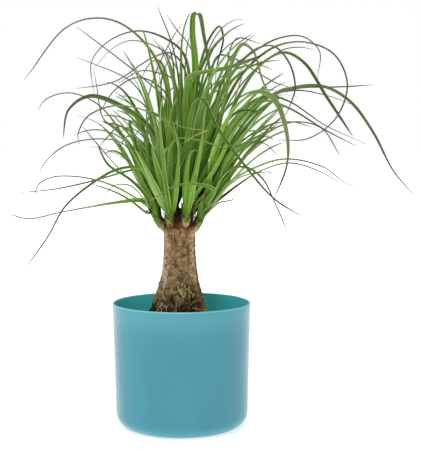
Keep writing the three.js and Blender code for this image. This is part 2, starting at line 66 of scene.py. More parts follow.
def pot_profile():
    """Radius and height along the pot's section: out over the underside, round the foot's corner by
    quarter-circle, up the wall, over the lip by half-circle, and down inside in the same way."""
    quarter = np.linspace(0, math.pi / 2, 15)
    half = np.linspace(0, math.pi, 13)
    rise = np.linspace(0, 1, 12)[1:-1]
    lip = POT_WALL / 2
    centre = POT_FOOT_RADIUS - POT_CORNER
    inner = POT_CORNER - POT_WALL
    innermost, halfway = 3, centre / 2
    wall = POT_CORNER + (POT_HEIGHT - lip - POT_CORNER) * rise
    underside = np.array([[innermost, 0], [halfway, 0]])
    corner_radius = centre + POT_CORNER * np.sin(quarter)
    corner = np.column_stack([corner_radius, POT_CORNER * (1 - np.cos(quarter))])
    outside = np.column_stack([wall_radius(wall), wall])
    top = wall_radius(POT_HEIGHT) - lip
    edge = np.column_stack([top + lip * np.cos(half), POT_HEIGHT - lip + lip * np.sin(half)])
    inside = np.column_stack([wall_radius(wall[::-1]) - POT_WALL, wall[::-1]])
    back = quarter[::-1]
    bowl = np.column_stack([centre + inner * np.sin(back), POT_FLOOR + inner * (1 - np.cos(back))])
    floor = np.array([[halfway, POT_FLOOR], [innermost, POT_FLOOR]])
    return np.vstack([underside, corner, outside, edge, inside, bowl, floor])


def turned(profile, sides):
    """Rings[1, row, column] of a profile turned round the Z axis: (r cos a, r sin a, z)."""
    angle = np.linspace(0, 2 * math.pi, sides, endpoint=False)
    radius = profile[:, :1]
    height = np.repeat(profile[:, 1:], sides, axis=1)
    return np.stack([radius * np.cos(angle), radius * np.sin(angle), height], axis=-1)[None]


def add_skins(name, rings, material, replaced=(), values=None, sharp=None):
    """Makes one piece of closed skins. rings[k, i, j] is point j of ring i of skin k, in millimetres.
    Rings run anticlockwise seen against the direction of travel, neighbours are joined by quads, and
    each end is closed by a fan to its ring's mean. values[label][k, i, j] becomes an attribute, and
    sharp is the angle, in degrees, from which an edge isn't shaded smooth."""
    count, rows, columns = rings.shape[:3]
    per_skin = rows * columns + 2
    layers = {label: np.broadcast_to(v, rings.shape[:3]) for label, v in (values or {}).items()}
    stacked = np.concatenate([rings, *[v[..., None] for v in layers.values()]], axis=-1)
    ends = stacked[:, [0, -1]].mean(axis=2)
    flat = np.concatenate([stacked.reshape(count, rows * columns, -1), ends], axis=1)
    flat = flat.reshape(count * per_skin, -1)
    grid = np.arange(rows * columns).reshape(rows, columns)
    beside = np.roll(grid, -1, axis=1)
    quads = np.stack([grid[:-1], beside[:-1], beside[1:], grid[1:]], axis=-1).reshape(-1, 4)
    first_mean = np.full(columns, rows * columns)
    first_fan = np.column_stack([first_mean, beside[0], grid[0]])
    last_fan = np.column_stack([first_mean + 1, grid[-1], beside[-1]])
    fans = np.vstack([first_fan, last_fan])
    shift = per_skin * np.arange(count)[:, None, None]
    all_quads = (quads[None] + shift).reshape(-1, 4)
    all_fans = (fans[None] + shift).reshape(-1, 3)
    mesh = bpy.data.meshes.new(name)
    mesh.from_pydata((flat[:, :3] * MILLIMETRE).tolist(), [], all_quads.tolist() + all_fans.tolist())
    for at, label in enumerate(layers):
        attribute = mesh.attributes.new(label, "FLOAT", "POINT")
        attribute.data.foreach_set("value", flat[:, 3 + at].astype(np.float32))
    mesh.shade_smooth()
    if sharp is not None:
        mesh.set_sharp_from_angle(angle=math.radians(sharp))
    mesh.materials.append(material)
    piece = bpy.data.objects.new(name, mesh)
    bpy.context.scene.collection.objects.link(piece)
    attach(piece, "root")
    if replaced:
        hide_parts(*replaced)


def linear(code):
    """Linear RGBA of an sRGB hex colour, by the sRGB transfer curve."""
    channels = [int(code[i : i + 2], 16) / 255 for i in (1, 3, 5)]
    return (*[c / 12.92 if c <= 0.04045 else ((c + 0.055) / 1.055) ** 2.4 for c in channels], 1)


def add_node(tree, kind, settings=None, inputs=None, stops=None):
    """Adds a shader node. settings are its own properties, inputs maps an input's name or number to a
    value or to the socket that feeds it, and stops are (position, hex colour) along a colour ramp."""
    made = tree.nodes.new("ShaderNode" + kind)
    for key, value in (settings or {}).items():
        setattr(made, key, value)
    for key, value in (inputs or {}).items():
        if isinstance(value, bpy.types.NodeSocket):
            tree.links.new(value, made.inputs[key])
        else:
            made.inputs[key].default_value = value
    for i, (position, code) in enumerate(stops or []):
        ramp = made.color_ramp.elements
        stop = ramp[i] if i < 2 else ramp.new(position)
        stop.position = position
        stop.color = linear(code)
    return made


def new_material(name, roughness, ior=1.45):
    """A material with only its Principled shader and output: returns material, tree and shader."""
    material = bpy.data.materials.new(name)
    material.use_nodes = True
    tree = material.node_tree
    shader = tree.nodes["Principled BSDF"]
    shader.inputs["Roughness"].default_value = roughness
    shader.inputs["IOR"].default_value = ior
    return material, tree, shader


# What lets a Mix node mix colours. Its inputs are then 0 for the share, and 6 and 7 for the two
# colours, and its output is 2.
COLOUR = {"data_type": "RGBA"}

# Satin polypropylene, moulded: one turquoise right through, with hardly visible flow marks and
# a soft skin that spreads its reflections. Painted light: the base colour is painted lighter above
# the soil and at the foot, for light through the thin wall, painted greener inside as a painted
# glow, and painted paler at the lip as a painted highlight. The mould's grain of 0.5 mm is very
# shallow, and it is drawn four times as coarse.
MOULD_GRAIN = 0.0005
plastic, tree, shader = new_material("moulded_polypropylene", 0.2, 1.49)
shader.inputs["Specular IOR Level"].default_value = 0.34
place = add_node(tree, "TexCoord").outputs["Object"]
flow = add_node(tree, "Mapping", inputs={"Vector": place, "Scale": (1.0, 1.0, 0.35)})
clouds = add_node(tree, "TexNoise", inputs={"Vector": flow.outputs[0], "Scale": 14, "Detail": 3})
tint = add_node(
    tree, "ValToRGB", inputs={"Fac": clouds.outputs["Fac"]}, stops=[(0.3, "#3b8697"), (0.7, "#418e9f")]
)
height = add_node(tree, "SeparateXYZ", inputs={"Vector": place}).outputs["Z"]
level = add_node(tree, "Math", {"operation": "DIVIDE"}, {0: height, 1: POT_HEIGHT * MILLIMETRE})
# Painted light: the wall is painted lighter near the foot and above the soil, for light through the
# thin wall and up from the table
painted_through_light = add_node(
    tree,
    "ValToRGB",
    inputs={"Fac": level.outputs[0]},
    stops=[(0.02, "#999999"), (0.93, "#a8a8a8"), (0.11, "#000000"), (0.7, "#000000"), (0.8, "#4c4c4c")],
)
painted_lit_wall = add_node(
    tree,
    "Mix",
    COLOUR,
    {0: painted_through_light.outputs["Color"], 6: tint.outputs["Color"], 7: linear("#63afbc")},
)
# Painted glow: the inside of the wall is painted greener and lighter
within = add_node(tree, "Attribute", {"attribute_name": "within"}).outputs["Fac"]
painted_inner_glow = add_node(tree, "Mix", COLOUR, {0: within, 6: painted_lit_wall.outputs[2], 7: linear("#5eeff8")})
# Painted highlight: the lip's edge is painted paler
painted_lip_highlight_share = add_node(
    tree,
    "MapRange",
    inputs={
        "Value": height,
        "From Min": LIP_HIGHLIGHT_STARTS * MILLIMETRE,
        "From Max": LIP_HIGHLIGHT_ENDS * MILLIMETRE,
        "To Min": 0.0,
        "To Max": 0.6,
    },
)
painted_edge_highlight = add_node(
    tree, "Mix", COLOUR, {0: painted_lip_highlight_share.outputs[0], 6: painted_inner_glow.outputs[2], 7: linear("#93d6e0")}
)
grain = add_node(
    tree, "TexNoise", inputs={"Vector": place, "Scale": 1 / (4 * MOULD_GRAIN), "Detail": 2}
)
bump = add_node(
    tree, "Bump", inputs={"Height": grain.outputs["Fac"], "Strength": 0.12, "Distance": 0.0001}
)
tree.links.new(painted_edge_highlight.outputs[2], shader.inputs["Base Color"])
tree.links.new(bump.outputs["Normal"], shader.inputs["Normal"])

pot_rings = turned(pot_profile(), POT_SIDES)
top_row = pot_rings[0, :, 0, 2].argmax()
inside_rows = (np.arange(pot_rings.shape[1]) > top_row + 2).astype(float)[None, :, None]
add_skins("cover_pot", pot_rings, plastic, ["pot"], {"within": inside_rows})


# THE POTTING SOIL
# Moist peat with small bark chips, pressed in by hand up to 27 mm below the rim. Its surface is
# crumbly and rises a little towards the trunk.

SOIL_LEVEL = 108
SOIL_BOTTOM = 4.4
SOIL_SIDES = 180
FILL_GAP = 3.1
CRUMBS = 520
CRUMB_ROWS = 5
CRUMB_SIDES = 6


def ripples(x, y, size, seed, waves=14):
    """Smooth aimless unevenness from -1 to 1: a mean of sine waves in seeded directions, each about
    size long from crest to crest."""
    draw = np.random.default_rng(seed)
    heading = draw.uniform(0, 2 * math.pi, waves)
    number = 2 * math.pi / (size * draw.uniform(0.7, 1.5, waves))
    phase = draw.uniform(0, 2 * math.pi, waves)
    total = np.zeros(np.broadcast(x, y).shape)
    for h, n, p in zip(heading, number, phase):
        total += np.sin(n * (x * math.cos(h) + y * math.sin(h)) + p)
    return total / math.sqrt(waves) / 1.6


def soil_height(x, y):
    """Height of the soil's surface: its level, 2 mm more near the trunk by a steep sigmoid, and lumps
    of 14, 5 and 2 mm."""
    rise = 2.2 / (1 + np.exp((np.hypot(x, y) - 50) / 4))
    lumps = 0.9 * ripples(x, y, 14, 1) + 0.6 * ripples(x, y, 5, 2) + 0.45 * ripples(x, y, 2.2, 3)
    return SOIL_LEVEL - 0.2 + rise + lumps


def soil_rings():
    """Rings of the whole fill: up the pot's inside with 0.5 mm to spare, and in over the surface."""
    angle = np.linspace(0, 2 * math.pi, SOIL_SIDES, endpoint=False)
    lower, upper = 18, 100
    side = np.array(
        [
            [20, SOIL_BOTTOM],
            [54, SOIL_BOTTOM],
            [63.5, 9.5],
            [wall_radius(lower) - FILL_GAP, lower],
            [wall_radius(upper) - FILL_GAP, upper],
        ]
    )
    surface = np.linspace(wall_radius(SOIL_LEVEL) - FILL_GAP - 0.1, 6, 60)
    radius = np.concatenate([side[:, 0], surface])[:, None]
    x, y = radius * np.cos(angle), radius * np.sin(angle)
    z = soil_height(x, y)
    z[: len(side)] = side[:, 1:]
    return np.stack([x, y, z], axis=-1)[None]


def crumb_rings():
    """Rings of loose crumbs on the surface: small balls of five by six points, each squashed, turned
    and dented by its own seeded draw, and sunk into the soil up to a third of its height."""
    draw = np.random.default_rng(5)
    size = draw.uniform(0.5, 1.0, CRUMBS) ** 2 * 2.4 + 0.3
    bearing = draw.uniform(0, 2 * math.pi, CRUMBS)
    out = np.sqrt(draw.uniform(0.2, 0.98, CRUMBS)) * (wall_radius(SOIL_LEVEL) - 5)
    x, y = out * np.cos(bearing), out * np.sin(bearing)
    polar = np.linspace(0.35, math.pi - 0.35, CRUMB_ROWS)[::-1, None]
    turn = np.linspace(0, 2 * math.pi, CRUMB_SIDES, endpoint=False)
    ball_x, ball_y = np.sin(polar) * np.cos(turn), np.sin(polar) * np.sin(turn)
    ball = np.stack([ball_x, ball_y, np.cos(polar) + 0 * turn], axis=-1)
    squash = draw.uniform([0.7, 0.5, 0.35], [1.6, 1.1, 0.8], (CRUMBS, 3))
    shape = ball[None] * (squash * size[:, None])[:, None, None]
    shape = shape * (1 + 0.35 * draw.uniform(-1, 1, (CRUMBS, CRUMB_ROWS, CRUMB_SIDES, 1)))
    spin = draw.uniform(0, 2 * math.pi, CRUMBS)[:, None, None]
    spun_x = shape[..., 0] * np.cos(spin) - shape[..., 1] * np.sin(spin)
    spun_y = shape[..., 0] * np.sin(spin) + shape[..., 1] * np.cos(spin)
    z = shape[..., 2] + (soil_height(x, y) + 0.3 * size * squash[:, 2])[:, None, None]
    rings = np.stack([spun_x + x[:, None, None], spun_y + y[:, None, None], z], axis=-1)
    return rings, draw.uniform(0, 1, CRUMBS)


# Potting soil: matt, nearly black where moist, and browner on its grains of about 1.5 mm, which are
# drawn three times as coarse, with finer ones on them.
SOIL_GRAIN = 0.0015
soil, tree, shader = new_material("moist_potting_soil", 0.95)
shader.inputs["Specular IOR Level"].default_value = 0.15
place = add_node(tree, "TexCoord").outputs["Object"]
grains = add_node(
    tree, "TexNoise", inputs={"Vector": place, "Scale": 1 / (3 * SOIL_GRAIN), "Detail": 4}
)
earth = add_node(
    tree,
    "ValToRGB",
    inputs={"Fac": grains.outputs["Fac"]},
    stops=[(0.36, "#17110c"), (0.56, "#33261b"), (0.72, "#56402c")],
)
bump = add_node(
    tree, "Bump", inputs={"Height": grains.outputs["Fac"], "Strength": 0.8, "Distance": 0.0008}
)
tree.links.new(earth.outputs["Color"], shader.inputs["Base Color"])
tree.links.new(bump.outputs["Normal"], shader.inputs["Normal"])
add_skins("potting_soil", soil_rings(), soil, replaced=["soil"])

# Crumbs of peat and chips of pine bark: each one its own brown, from nearly black to straw.
chips, tree, shader = new_material("peat_crumbs", 0.95)
shader.inputs["Specular IOR Level"].default_value = 0.15
tone = add_node(tree, "Attribute", {"attribute_name": "tone"}).outputs["Fac"]
brown = add_node(
    tree,
    "ValToRGB",
    inputs={"Fac": tone},
    stops=[(0.0, "#1c140e"), (0.55, "#3a2a1d"), (0.8, "#5d4029"), (1.0, "#8b6b48")],
)
tree.links.new(brown.outputs["Color"], shader.inputs["Base Color"])
crumbs, crumb_tone = crumb_rings()
add_skins("soil_crumbs", crumbs, chips, values={"tone": crumb_tone[:, None, None]}, sharp=40)


# THE TRUNK
# A living woody stem in corky bark that has cracked into small upright plates. It swells into
# ribbed roots at the foot, and its top was once cut, so it ends in dry scars round a dead stub.

TRUNK_X = -2.2
FOOT_LEAN = -1.8
TRUNK_SIDES = 264
TRUNK_ROWS = 300

# Moss is thickest at this bearing, in degrees, and ends at this height
MOSSY_SIDE = 286
MOSS_TOP = 181

# The stem's section: height above the table, and radius there
TRUNK_PROFILE = np.array(
    [
        [84, 27], [88, 33], [98, 38], [108, 38], [118, 35], [127, 31.4], [135, 28], [144, 24.6],
        [156, 21.3], [170, 18.8], [186, 17.4], [203, 16.9], [212, 17.1], [217, 17.3], [220, 15.8],
        [221.5, 11], [222.5, 6], [227, 5.2], [235, 4.9], [237, 3],
    ]
)


def smooth_line(points, count):
    """count + 1 points on a centripetal Catmull-Rom line through points: between two neighbours a
    cubic whose slopes come from the points on either side, spaced by the root of their distance."""
    ends = [2 * points[0] - points[1], 2 * points[-1] - points[-2]]
    padded = np.vstack([ends[0], points, ends[1]])
    place = (len(points) - 1) * np.arange(count + 1) / count
    span = np.minimum(place.astype(int), len(points) - 2)
    weight = (place - span)[:, None]
    p0, p1, p2, p3 = (padded[span + i] for i in range(4))
    pairs = [(p0, p1), (p1, p2), (p2, p3)]
    d0, d1, d2 = (np.sqrt(np.linalg.norm(b - a, axis=1))[:, None] for a, b in pairs)
    m1 = ((p1 - p0) / d0 - (p2 - p0) / (d0 + d1) + (p2 - p1) / d1) * d1
    m2 = ((p2 - p1) / d1 - (p3 - p1) / (d1 + d2) + (p3 - p2) / d2) * d1
    c2 = 3 * (p2 - p1) - 2 * m1 - m2
    c3 = 2 * (p1 - p2) + m1 + m2
    return p1 + m1 * weight + c2 * weight**2 + c3 * weight**3


TRUNK_LINE = smooth_line(TRUNK_PROFILE, 600)


def foot_share(z):
    """How much a height belongs to the swollen foot: none above 165 mm, and all below 125 mm."""
    return np.clip((165 - z) / 40, 0, 1)


def turned_from(angle, degrees):
    """How far an angle is turned from a bearing given in degrees, from minus pi to pi."""
    return (angle - math.radians(degrees) + math.pi) % (2 * math.pi) - math.pi


def plates(u, v, across, seed):
    """Cells of cracked bark on a jittered grid, round u with period across: how far a point is from
    the nearest crack, and a number for its plate. Both come from the two nearest cell centres."""
    draw = np.random.default_rng(seed)
    rows = int(v.max() - v.min()) + 6
    jitter = draw.uniform(0.15, 0.85, (2, rows, across))
    shade = draw.uniform(0, 1, (rows, across))
    column, row = np.floor(u).astype(int), np.floor(v - v.min()).astype(int) + 2
    nearest = np.full(u.shape, 9.0)
    second = np.full(u.shape, 9.0)
    plate = np.zeros(u.shape)
    for di in (-1, 0, 1):
        for dj in (-1, 0, 1):
            c, r = (column + dj) % across, row + di
            x = column + dj + jitter[0, r, c]
            y = r - 2 + jitter[1, r, c] + v.min()
            gap = np.hypot(u - x, v - y)
            closer = gap < nearest
            second = np.where(closer, nearest, np.minimum(second, gap))
            plate = np.where(closer, shade[r, c], plate)
            nearest = np.minimum(nearest, gap)
    return second - nearest, plate


def wander(angle, z, size, seed, radius=17, steep=1.0):
    """Ripples on a round stem that close up after a turn: they are read on a spiral through a flat
    field, x = r cos a + 0.6 z and y = r sin a - 0.8 z, and steep below 1 draws them out upright."""
    x = radius * np.cos(angle) + 0.6 * steep * z
    y = radius * np.sin(angle) - 0.8 * steep * z
    return ripples(x, y, size, seed)


# The earthy hollows between the roots: the bearing of each in degrees, its height above the table,
# and how wide and how tall it is
HOLLOWS = [
    (237, 134, 10, 8), (309, 132, 11, 8), (20, 130, 9, 8), (62, 127, 8, 8), (104, 131, 9, 7),
    (146, 128, 10, 8), (190, 126, 8, 7), (276, 120, 9, 6), (229, 131, 4, 5), (296, 129, 5, 5),
]

# Single deep cracks and notches in the bark, given in the same way
NOTCHES = [
    (305, 193, 0.9, 6), (289, 187.5, 2.4, 0.9), (325, 171, 0.9, 2.4), (217, 184, 0.9, 2),
    (219, 176, 0.8, 1.6), (216, 191, 0.7, 2.4), (272, 213, 0.7, 6), (252, 205, 0.5, 5),
    (283, 200, 0.5, 7), (296, 206, 1.8, 0.7), (334, 188, 0.6, 5), (60, 190, 0.9, 6),
    (100, 180, 2.2, 0.9), (140, 198, 0.8, 6), (20, 203, 0.7, 5), (170, 186, 1.8, 0.8),
    (85, 208, 0.6, 5), (258, 178, 0.6, 5), (275, 171, 1.8, 0.7), (232, 166, 0.8, 4),
]

# Pale ridges, given in the same way. The four near 220 and 325 degrees lie near the trunk's left
# and right edges as seen from the camera, and their paleness is painted sheen; the others are
# weathered ridges, where the bark is bleached
BLEACHED_AND_SHEEN = [
    (217, 196, 3.2, 26), (329, 188, 3, 24), (222, 160, 3, 14), (322, 158, 2.4, 12), (30, 190, 3, 22),
    (95, 200, 3.4, 16), (150, 180, 3.2, 24), (70, 165, 3, 14),
]


def bells(angle, z, spots):
    """How much a point belongs to the given spots, from 0 to 1: the sum of a bell curve round each."""
    total = np.zeros(np.broadcast(angle, z).shape)
    for bearing, height, wide, tall in spots:
        aside = turned_from(angle, bearing) * (17 + 11 * foot_share(height))
        total += np.exp(-((aside / wide) ** 2) - ((z - height) / tall) ** 2)
    return np.clip(total, 0, 1)


def trunk_surface(angle, z, radius):
    """Radius of the bark at an angle and height, and its crack, tone and hollow shares. The CAD
    source's flutes, roots and rings come first. On them lie upright strips about 7 mm wide, blocks of
    5 by 8 mm in patches and cross wrinkles 2 mm apart, each with its own tone and with cracks
    between. Notches are cut in, the foot has fibrous ridges and hollows, and the cut top is frayed."""
    foot = foot_share(z)
    flutes = 0.02 * np.cos(5 * angle + 0.6) + 0.012 * np.cos(8 * angle - 1.1)
    roots = 0.045 * np.cos(7 * angle + 2.2) + 0.03 * np.cos(11 * angle + 0.4)
    rings = 0.01 * np.sin(z * 0.9 + 2 * np.sin(2 * angle))
    smooth = radius * (1 + flutes + roots * foot + rings)
    turn = angle / (2 * math.pi)
    around = (turn * 15 + 0.32 * wander(angle, z, 24, 11) + 0.1 * wander(angle, z, 5, 18)) % 15
    gap, strip = plates(around, z / 42 + 0.3 * wander(angle, z, 15, 12), 15, 13)
    patchy = np.clip(0.5 + 0.9 * wander(angle, z, 19, 24), 0, 1)
    crack = np.exp(-((gap / 0.08) ** 2)) * np.clip(0.15 + 1.2 * strip, 0, 1) * (0.35 + 0.65 * patchy)
    blocked = (turn * 21 + 0.35 * wander(angle, z, 8, 25)) % 21
    block_gap, block = plates(blocked, z / 8 + 0.3 * wander(angle, z, 7, 26), 21, 27)
    split = np.exp(-((block_gap / 0.1) ** 2)) * np.clip(1.6 * wander(angle, z, 13, 28) + 0.2, 0, 1)
    wrinkled = (turn * 24 + 0.5 * wander(angle, z, 10, 14)) % 24
    cross_gap, chip = plates(wrinkled, z / 2.1 + 0.7 * wander(angle, z, 9, 19), 24, 15)
    wrinkle = np.exp(-((cross_gap / 0.2) ** 2)) * 0.9 * chip * (1 - 0.6 * foot)
    wrinkle = wrinkle * np.clip(0.6 + 1.2 * wander(angle, z, 11, 30), 0, 1)
    notch = bells(angle + 0.05 * wander(angle, z, 6, 31), z, NOTCHES)
    ragged = np.clip(1.15 + 0.9 * wander(angle, z, 4.5, 21, 28), 0, 1.2)
    hollow = np.clip(2.1 * bells(angle, z, HOLLOWS) * ragged, 0, 1) * foot
    depth = np.clip(crack + 0.8 * split + wrinkle + 1.2 * notch, 0, 1)
    tone = 0.5 * strip + 0.25 * block + 0.25 * chip
    # Paler bark along weathered, bleached ridges, and painted sheen near the trunk's left and right
    # edges
    worn_and_sheen = np.clip(0.8 + 0.8 * wander(angle, z, 6, 32), 0, 1.3)
    tone = tone + 0.45 * bells(angle, z, BLEACHED_AND_SHEEN) * worn_and_sheen
    swell = 0.3 * (strip - 0.5) + 0.2 * (block - 0.5) + 0.14 * (chip - 0.5)
    fibres = foot * (0.9 * wander(angle, z, 7, 16, 30, 0.35) + 0.8 * wander(angle, z, 2.6, 17, 30, 0.4))
    frayed = np.exp(-(((z - 217) / 4) ** 2)) * 0.7 * wander(angle, z, 2.6, 22)
    dents = 0.7 * crack + 0.5 * split + 0.3 * wrinkle + 0.8 * notch + 3.4 * hollow
    r = smooth + swell + fibres + frayed - dents
    return r, depth, tone, hollow


def trunk_radius(z):
    """The profile's own radius at a height, read from its smooth line."""
    return np.interp(z, TRUNK_LINE[:, 0], TRUNK_LINE[:, 1])


def trunk_rings():
    """Rings of the whole stem: the profile's height and radius followed evenly by distance, each
    turned round the leaning axis with the bark's own radius at every angle. Moss is thickest on the
    front of the foot, as a bell curve over the angle, and thins out upwards."""
    walked = np.append(0, np.cumsum(np.linalg.norm(np.diff(TRUNK_LINE, axis=0), axis=1)))
    even = np.linspace(0, walked[-1], TRUNK_ROWS)
    z = np.interp(even, walked, TRUNK_LINE[:, 0])[:, None]
    radius = np.interp(even, walked, TRUNK_LINE[:, 1])[:, None]
    angle = np.linspace(0, 2 * math.pi, TRUNK_SIDES, endpoint=False)[None]
    angle, z = angle + 0 * z, z + 0 * angle
    r, depth, tone, hollow = trunk_surface(angle, z, radius)
    spread = 0.28 + 0.72 * np.exp(-((turned_from(angle, MOSSY_SIDE) / 0.7) ** 2))
    blotchy = 0.75 + 0.8 * wander(angle, z, 9, 23, 28) + 0.3 * wander(angle, z, 3, 29, 28)
    upwards = np.clip((MOSS_TOP - z) / 32, 0, 1)
    moss = np.clip(1.3 * upwards * spread * np.clip(blotchy, 0, 1.1), 0, 1)
    x = TRUNK_X + FOOT_LEAN * foot_share(z) + r * np.cos(angle)
    points = np.stack([x, r * np.sin(angle), z], axis=-1)[None]
    shares = {"crack": depth, "tone": tone, "hollow": hollow, "moss": moss}
    return points, {label: share[None] for label, share in shares.items()}


# Corky bark: matt, tan to grey-brown, with dark cracks. It is redder and frayed round the cut top,
# the dead stub is nearly black, partly as dead wood and partly as painted shade among the shoots,
# and the foot is mossy with dark earth in its hollows. As noise it has patches of 12 mm, upright
# fibres 1 mm wide, which above the foot give way to cross wrinkles 2.2 mm apart, and moss tufts of
# 2.4 mm. Fibres, wrinkles and tufts are coarser than real.
BARK_PATCH = 0.012
BARK_FIBRE = 0.001
BARK_WRINKLE = 0.0022
MOSS_TUFT = 0.0024
bark, tree, shader = new_material("corky_bark", 0.88)
shader.inputs["Specular IOR Level"].default_value = 0.12
place = add_node(tree, "TexCoord").outputs["Object"]
height = add_node(tree, "SeparateXYZ", inputs={"Vector": place}).outputs["Z"]
crack, tone, hollow, moss = (
    add_node(tree, "Attribute", {"attribute_name": label}).outputs["Fac"]
    for label in ("crack", "tone", "hollow", "moss")
)
upright = add_node(tree, "Mapping", inputs={"Vector": place, "Scale": (1, 1, 0.22)}).outputs[0]
crosswise = add_node(tree, "Mapping", inputs={"Vector": place, "Scale": (0.3, 0.3, 1)}).outputs[0]
drawn_down = add_node(tree, "Mapping", inputs={"Vector": place, "Scale": (1, 1, 0.45)}).outputs[0]
patch, fibre, wrinkles, tangle = (
    add_node(
        tree,
        "TexNoise",
        inputs={"Vector": way, "Scale": 1 / size, "Detail": detail, "Roughness": rough},
    )
    for way, size, detail, rough in (
        (place, BARK_PATCH, 5, 0.65),
        (upright, 2 * BARK_FIBRE, 3, 0.7),
        (crosswise, BARK_WRINKLE, 3, 0.6),
        (drawn_down, MOSS_TUFT, 4, 0.7),
    )
)
# Heights between which cross wrinkles, the redder bark and the dark stub set in, and their most
above_foot, near_top, stub_share = (
    add_node(
        tree,
        "MapRange",
        inputs={
            "Value": height,
            "From Min": starts * MILLIMETRE,
            "From Max": ends * MILLIMETRE,
            "To Min": 0.0,
            "To Max": most,
        },
    )
    for starts, ends, most in ((148, 170, 0.7), (209, 217, 0.85), (222, 231, 0.95))
)
weave = add_node(
    tree, "Mix", inputs={0: above_foot.outputs[0], 2: fibre.outputs["Fac"], 3: wrinkles.outputs["Fac"]}
)
mixed = add_node(
    tree, "Math", {"operation": "MULTIPLY_ADD"}, {0: patch.outputs["Fac"], 1: 0.6, 2: weave.outputs[0]}
)
shade = add_node(tree, "Math", {"operation": "MULTIPLY_ADD"}, {0: tone, 1: 0.5, 2: mixed.outputs[0]})
level = add_node(tree, "Math", {"operation": "SUBTRACT"}, {0: shade.outputs[0], 1: 0.55})
corky = add_node(
    tree,
    "ValToRGB",
    inputs={"Fac": level.outputs[0]},
    stops=[(0.18, "#684b31"), (0.4, "#977653"), (0.58, "#b49570"), (0.82, "#dcc7a6")],
)
reddish = add_node(
    tree,
    "ValToRGB",
    inputs={"Fac": level.outputs[0]},
    stops=[(0.2, "#4d2b1b"), (0.5, "#87543a"), (0.85, "#b98a66")],
)
warm = add_node(
    tree,
    "Mix",
    COLOUR,
    {0: near_top.outputs[0], 6: corky.outputs["Color"], 7: reddish.outputs["Color"]},
)
# Partly painted shade: the dead stub among the shoots is painted nearly black
stub = add_node(
    tree, "Mix", COLOUR, {0: stub_share.outputs[0], 6: warm.outputs[2], 7: linear("#20130c")}
)
olive = add_node(
    tree,
    "ValToRGB",
    inputs={"Fac": tangle.outputs["Fac"]},
    stops=[(0.39, "#191205"), (0.47, "#51461f"), (0.56, "#857843"), (0.67, "#d2c590")],
)
mossy = add_node(tree, "Mix", COLOUR, {0: moss, 6: stub.outputs[2], 7: olive.outputs["Color"]})
earthy = add_node(tree, "Mix", COLOUR, {0: hollow, 6: mossy.outputs[2], 7: linear("#1d1009")})
deep = add_node(tree, "Math", {"operation": "MULTIPLY"}, {0: crack, 1: 0.85})
cracked = add_node(
    tree, "Mix", COLOUR, {0: deep.outputs[0], 6: earthy.outputs[2], 7: linear("#3a2513")}
)
bump = add_node(
    tree, "Bump", inputs={"Height": mixed.outputs[0], "Strength": 0.8, "Distance": 0.0006}
)
tree.links.new(cracked.outputs[2], shader.inputs["Base Color"])
tree.links.new(bump.outputs["Normal"], shader.inputs["Normal"])

rings, shares = trunk_rings()
add_skins("trunk_bark", rings, bark, replaced=["trunk"], values=shares)


# THE ROOT FIBRES AND DRY SCRAPS
# Dead rootlets cling to the foot of the trunk, and frayed ends of old leaf bases, some of them
# curled, stand on its cut top among the shoots. All are bone dry, straw to dark brown. The shreds in
# the gaps between the front shoots and the splinters on the stub are nearly black, partly as painted
# shade in the crown's dark middle.

FIBRES = 150

# The first rootlets lie where the eye meets them, on the front of the foot: the bearing in degrees
# and the height at which each starts, and those at which it ends
FRONT_FIBRES = np.array(
    [
        [268, 155, 290, 142.5], [300, 148.5, 311, 142], [287, 156, 291, 152], [309, 131, 333, 128],
        [232, 137, 236, 131], [238, 134, 242, 129], [234, 130, 240, 127], [275, 152, 283, 140],
    ]
)

# The scraps come first, and the first of them are the shreds in the three gaps between the front
# shoots, whose bearings are given in degrees. After the scraps come the rim's flakes, and last the
# splinters on the stub.
SCRAPS = 150
GAP_SHREDS = 54
FRONT_GAPS = [205, 262, 327]
RIM_FLAKES = 60
STUB_SPLINTERS = 26


def thread_rings(path, across, wide, thick, sides=6):
    """Rings of threads and strips along path[k, i]: flat ovals cos and sin, wide along across and
    thick along the third direction, on each point of each path."""
    along = np.gradient(path, axis=1)
    along /= np.linalg.norm(along, axis=-1, keepdims=True)
    across = across - along * (across * along).sum(axis=-1, keepdims=True)
    across /= np.maximum(np.linalg.norm(across, axis=-1, keepdims=True), 1e-9)
    third = np.cross(along, across)
    angle = np.linspace(0, 2 * math.pi, sides, endpoint=False)
    flat = (wide / 2)[..., None, None] * np.cos(angle)[:, None] * across[..., None, :]
    deep = (thick / 2)[..., None, None] * np.sin(angle)[:, None] * third[..., None, :]
    return path[..., None, :] + flat + deep


